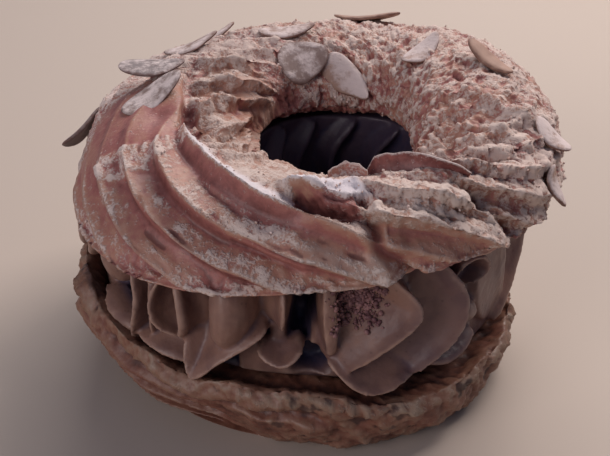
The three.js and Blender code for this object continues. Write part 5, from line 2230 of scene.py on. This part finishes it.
@dataclass(frozen=True)
class Studio:
    """Camera, soft lights and the plain pale floor."""

    target: Triple = (3.0, 0.0, 24.0)
    elevation: float = 30.0
    distance: float = 235.0
    lens: float = 67.87
    sensor: float = 36.0
    nearest: float = 0.01
    soft_lights: tuple[SoftLight, ...] = (
        SoftLight("key", (0.30, 0.26, 0.50), 0.34, 3.3, (1.0, 0.90, 0.86)),
        SoftLight("top", (0.04, 0.64, 0.62), 0.5, 3.1, (1.0, 0.94, 0.93)),
        SoftLight("fill", (-0.44, -0.50, 0.30), 0.40, 2.0, (1.0, 0.92, 0.93)),
    )
    lit_point: Triple = (0.0, 0.0, 0.03)
    sky: Colour = (0.47, 0.56, 0.88)
    sky_strength: float = 0.19
    floor_colour: Colour = (0.47, 0.395, 0.330)
    floor_half: float = 3000.0

    @staticmethod
    def _aim(name: str, data: bpy.types.ID, place: Vector, ahead: Vector) -> Piece:
        """Adds a camera or light at a place in metres, looking ahead."""
        made = bpy.data.objects.new(name, data)
        bpy.context.scene.collection.objects.link(made)
        made.location = place
        made.rotation_euler = ahead.to_track_quat("-Z", "Y").to_euler()
        return made

    def camera(self) -> None:
        """Puts the camera in front of the pastry."""
        data = bpy.data.cameras.new("camera")
        data.lens = self.lens
        data.sensor_width = self.sensor
        data.clip_start = self.nearest
        tilt = math.radians(self.elevation)
        back = Vector((0, -math.cos(tilt), math.sin(tilt)))
        target = Vector(self.target) + Vector(OFFSET)
        place = (target + back * self.distance) * MM
        bpy.context.scene.camera = self._aim("camera", data, place, -back)

    def lights(self) -> None:
        """Sets the soft lights and the even light all round."""
        for soft in self.soft_lights:
            data = bpy.data.lights.new(soft.name, "AREA")
            data.size, data.energy, data.color = soft.size, soft.watts, soft.colour
            place = Vector(soft.place)
            self._aim(soft.name, data, place, Vector(self.lit_point) - place)
        world = bpy.data.worlds.new("studio")
        world.use_nodes = True
        bpy.context.scene.world = world
        background = world.node_tree.nodes["Background"]
        background.inputs["Color"].default_value = (*self.sky, 1.0)
        background.inputs["Strength"].default_value = self.sky_strength
        bpy.context.scene.view_settings.view_transform = "Standard"

    def floor(self) -> None:
        """Adds the plain pale floor."""
        corners = np.array([[-1, -1, 0], [1, -1, 0], [1, 1, 0], [-1, 1, 0]], float)
        floor = Shell(self.floor_half * corners, [(0, 1, 2, 3)]).to_object("floor")
        m = Material("pale_floor")
        floor.data.materials.append(m.finish(Base_Color=self.floor_colour, Roughness=0.7))


# ---- assembly


def main() -> None:
    """Builds the pastry from the lower half up, then its studio."""
    logging.basicConfig(level=logging.INFO)
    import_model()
    studio = Studio()
    studio.camera()

    crust = CrustFinish("choux_crust").build()
    base = BaseChoux().build()
    place_piece(base, Slot.BASE, "base_ring", SHADED_BASE_FINISH.build())

    cream = PralineCream().build()
    place_piece(cream, Slot.CREAM, "cream_ring", CreamFinish("praline_cream").build())
    nuts = NutPatch().build(cream)
    nut_finish = CrumbFinish("chopped_nuts", (0.125, 0.056, 0.062), (0.260, 0.135, 0.130), 0.5)
    place_piece(nuts, Slot.NUT, "cream_ring", nut_finish.build())

    top = TopChoux().build()
    place_piece(top, Slot.TOP, "top_ring", crust)
    place_piece(BlisteredSkins().build(), Slot.TOP, "top_ring", crust)
    flakes = AlmondFlakes().build()
    place_piece(flakes, Slot.ALMOND, "top_ring", AlmondFinish("flaked_almond").build())
    sugar = SugarClumps().build(top)
    sugar_finish = CrumbFinish("icing_sugar", (0.72, 0.58, 0.52), (0.60, 0.43, 0.36), 0.92)
    place_piece(sugar, Slot.SUGAR, "top_ring", sugar_finish.build())

    studio.lights()
    studio.floor()


if __name__ == "__main__":
    main()
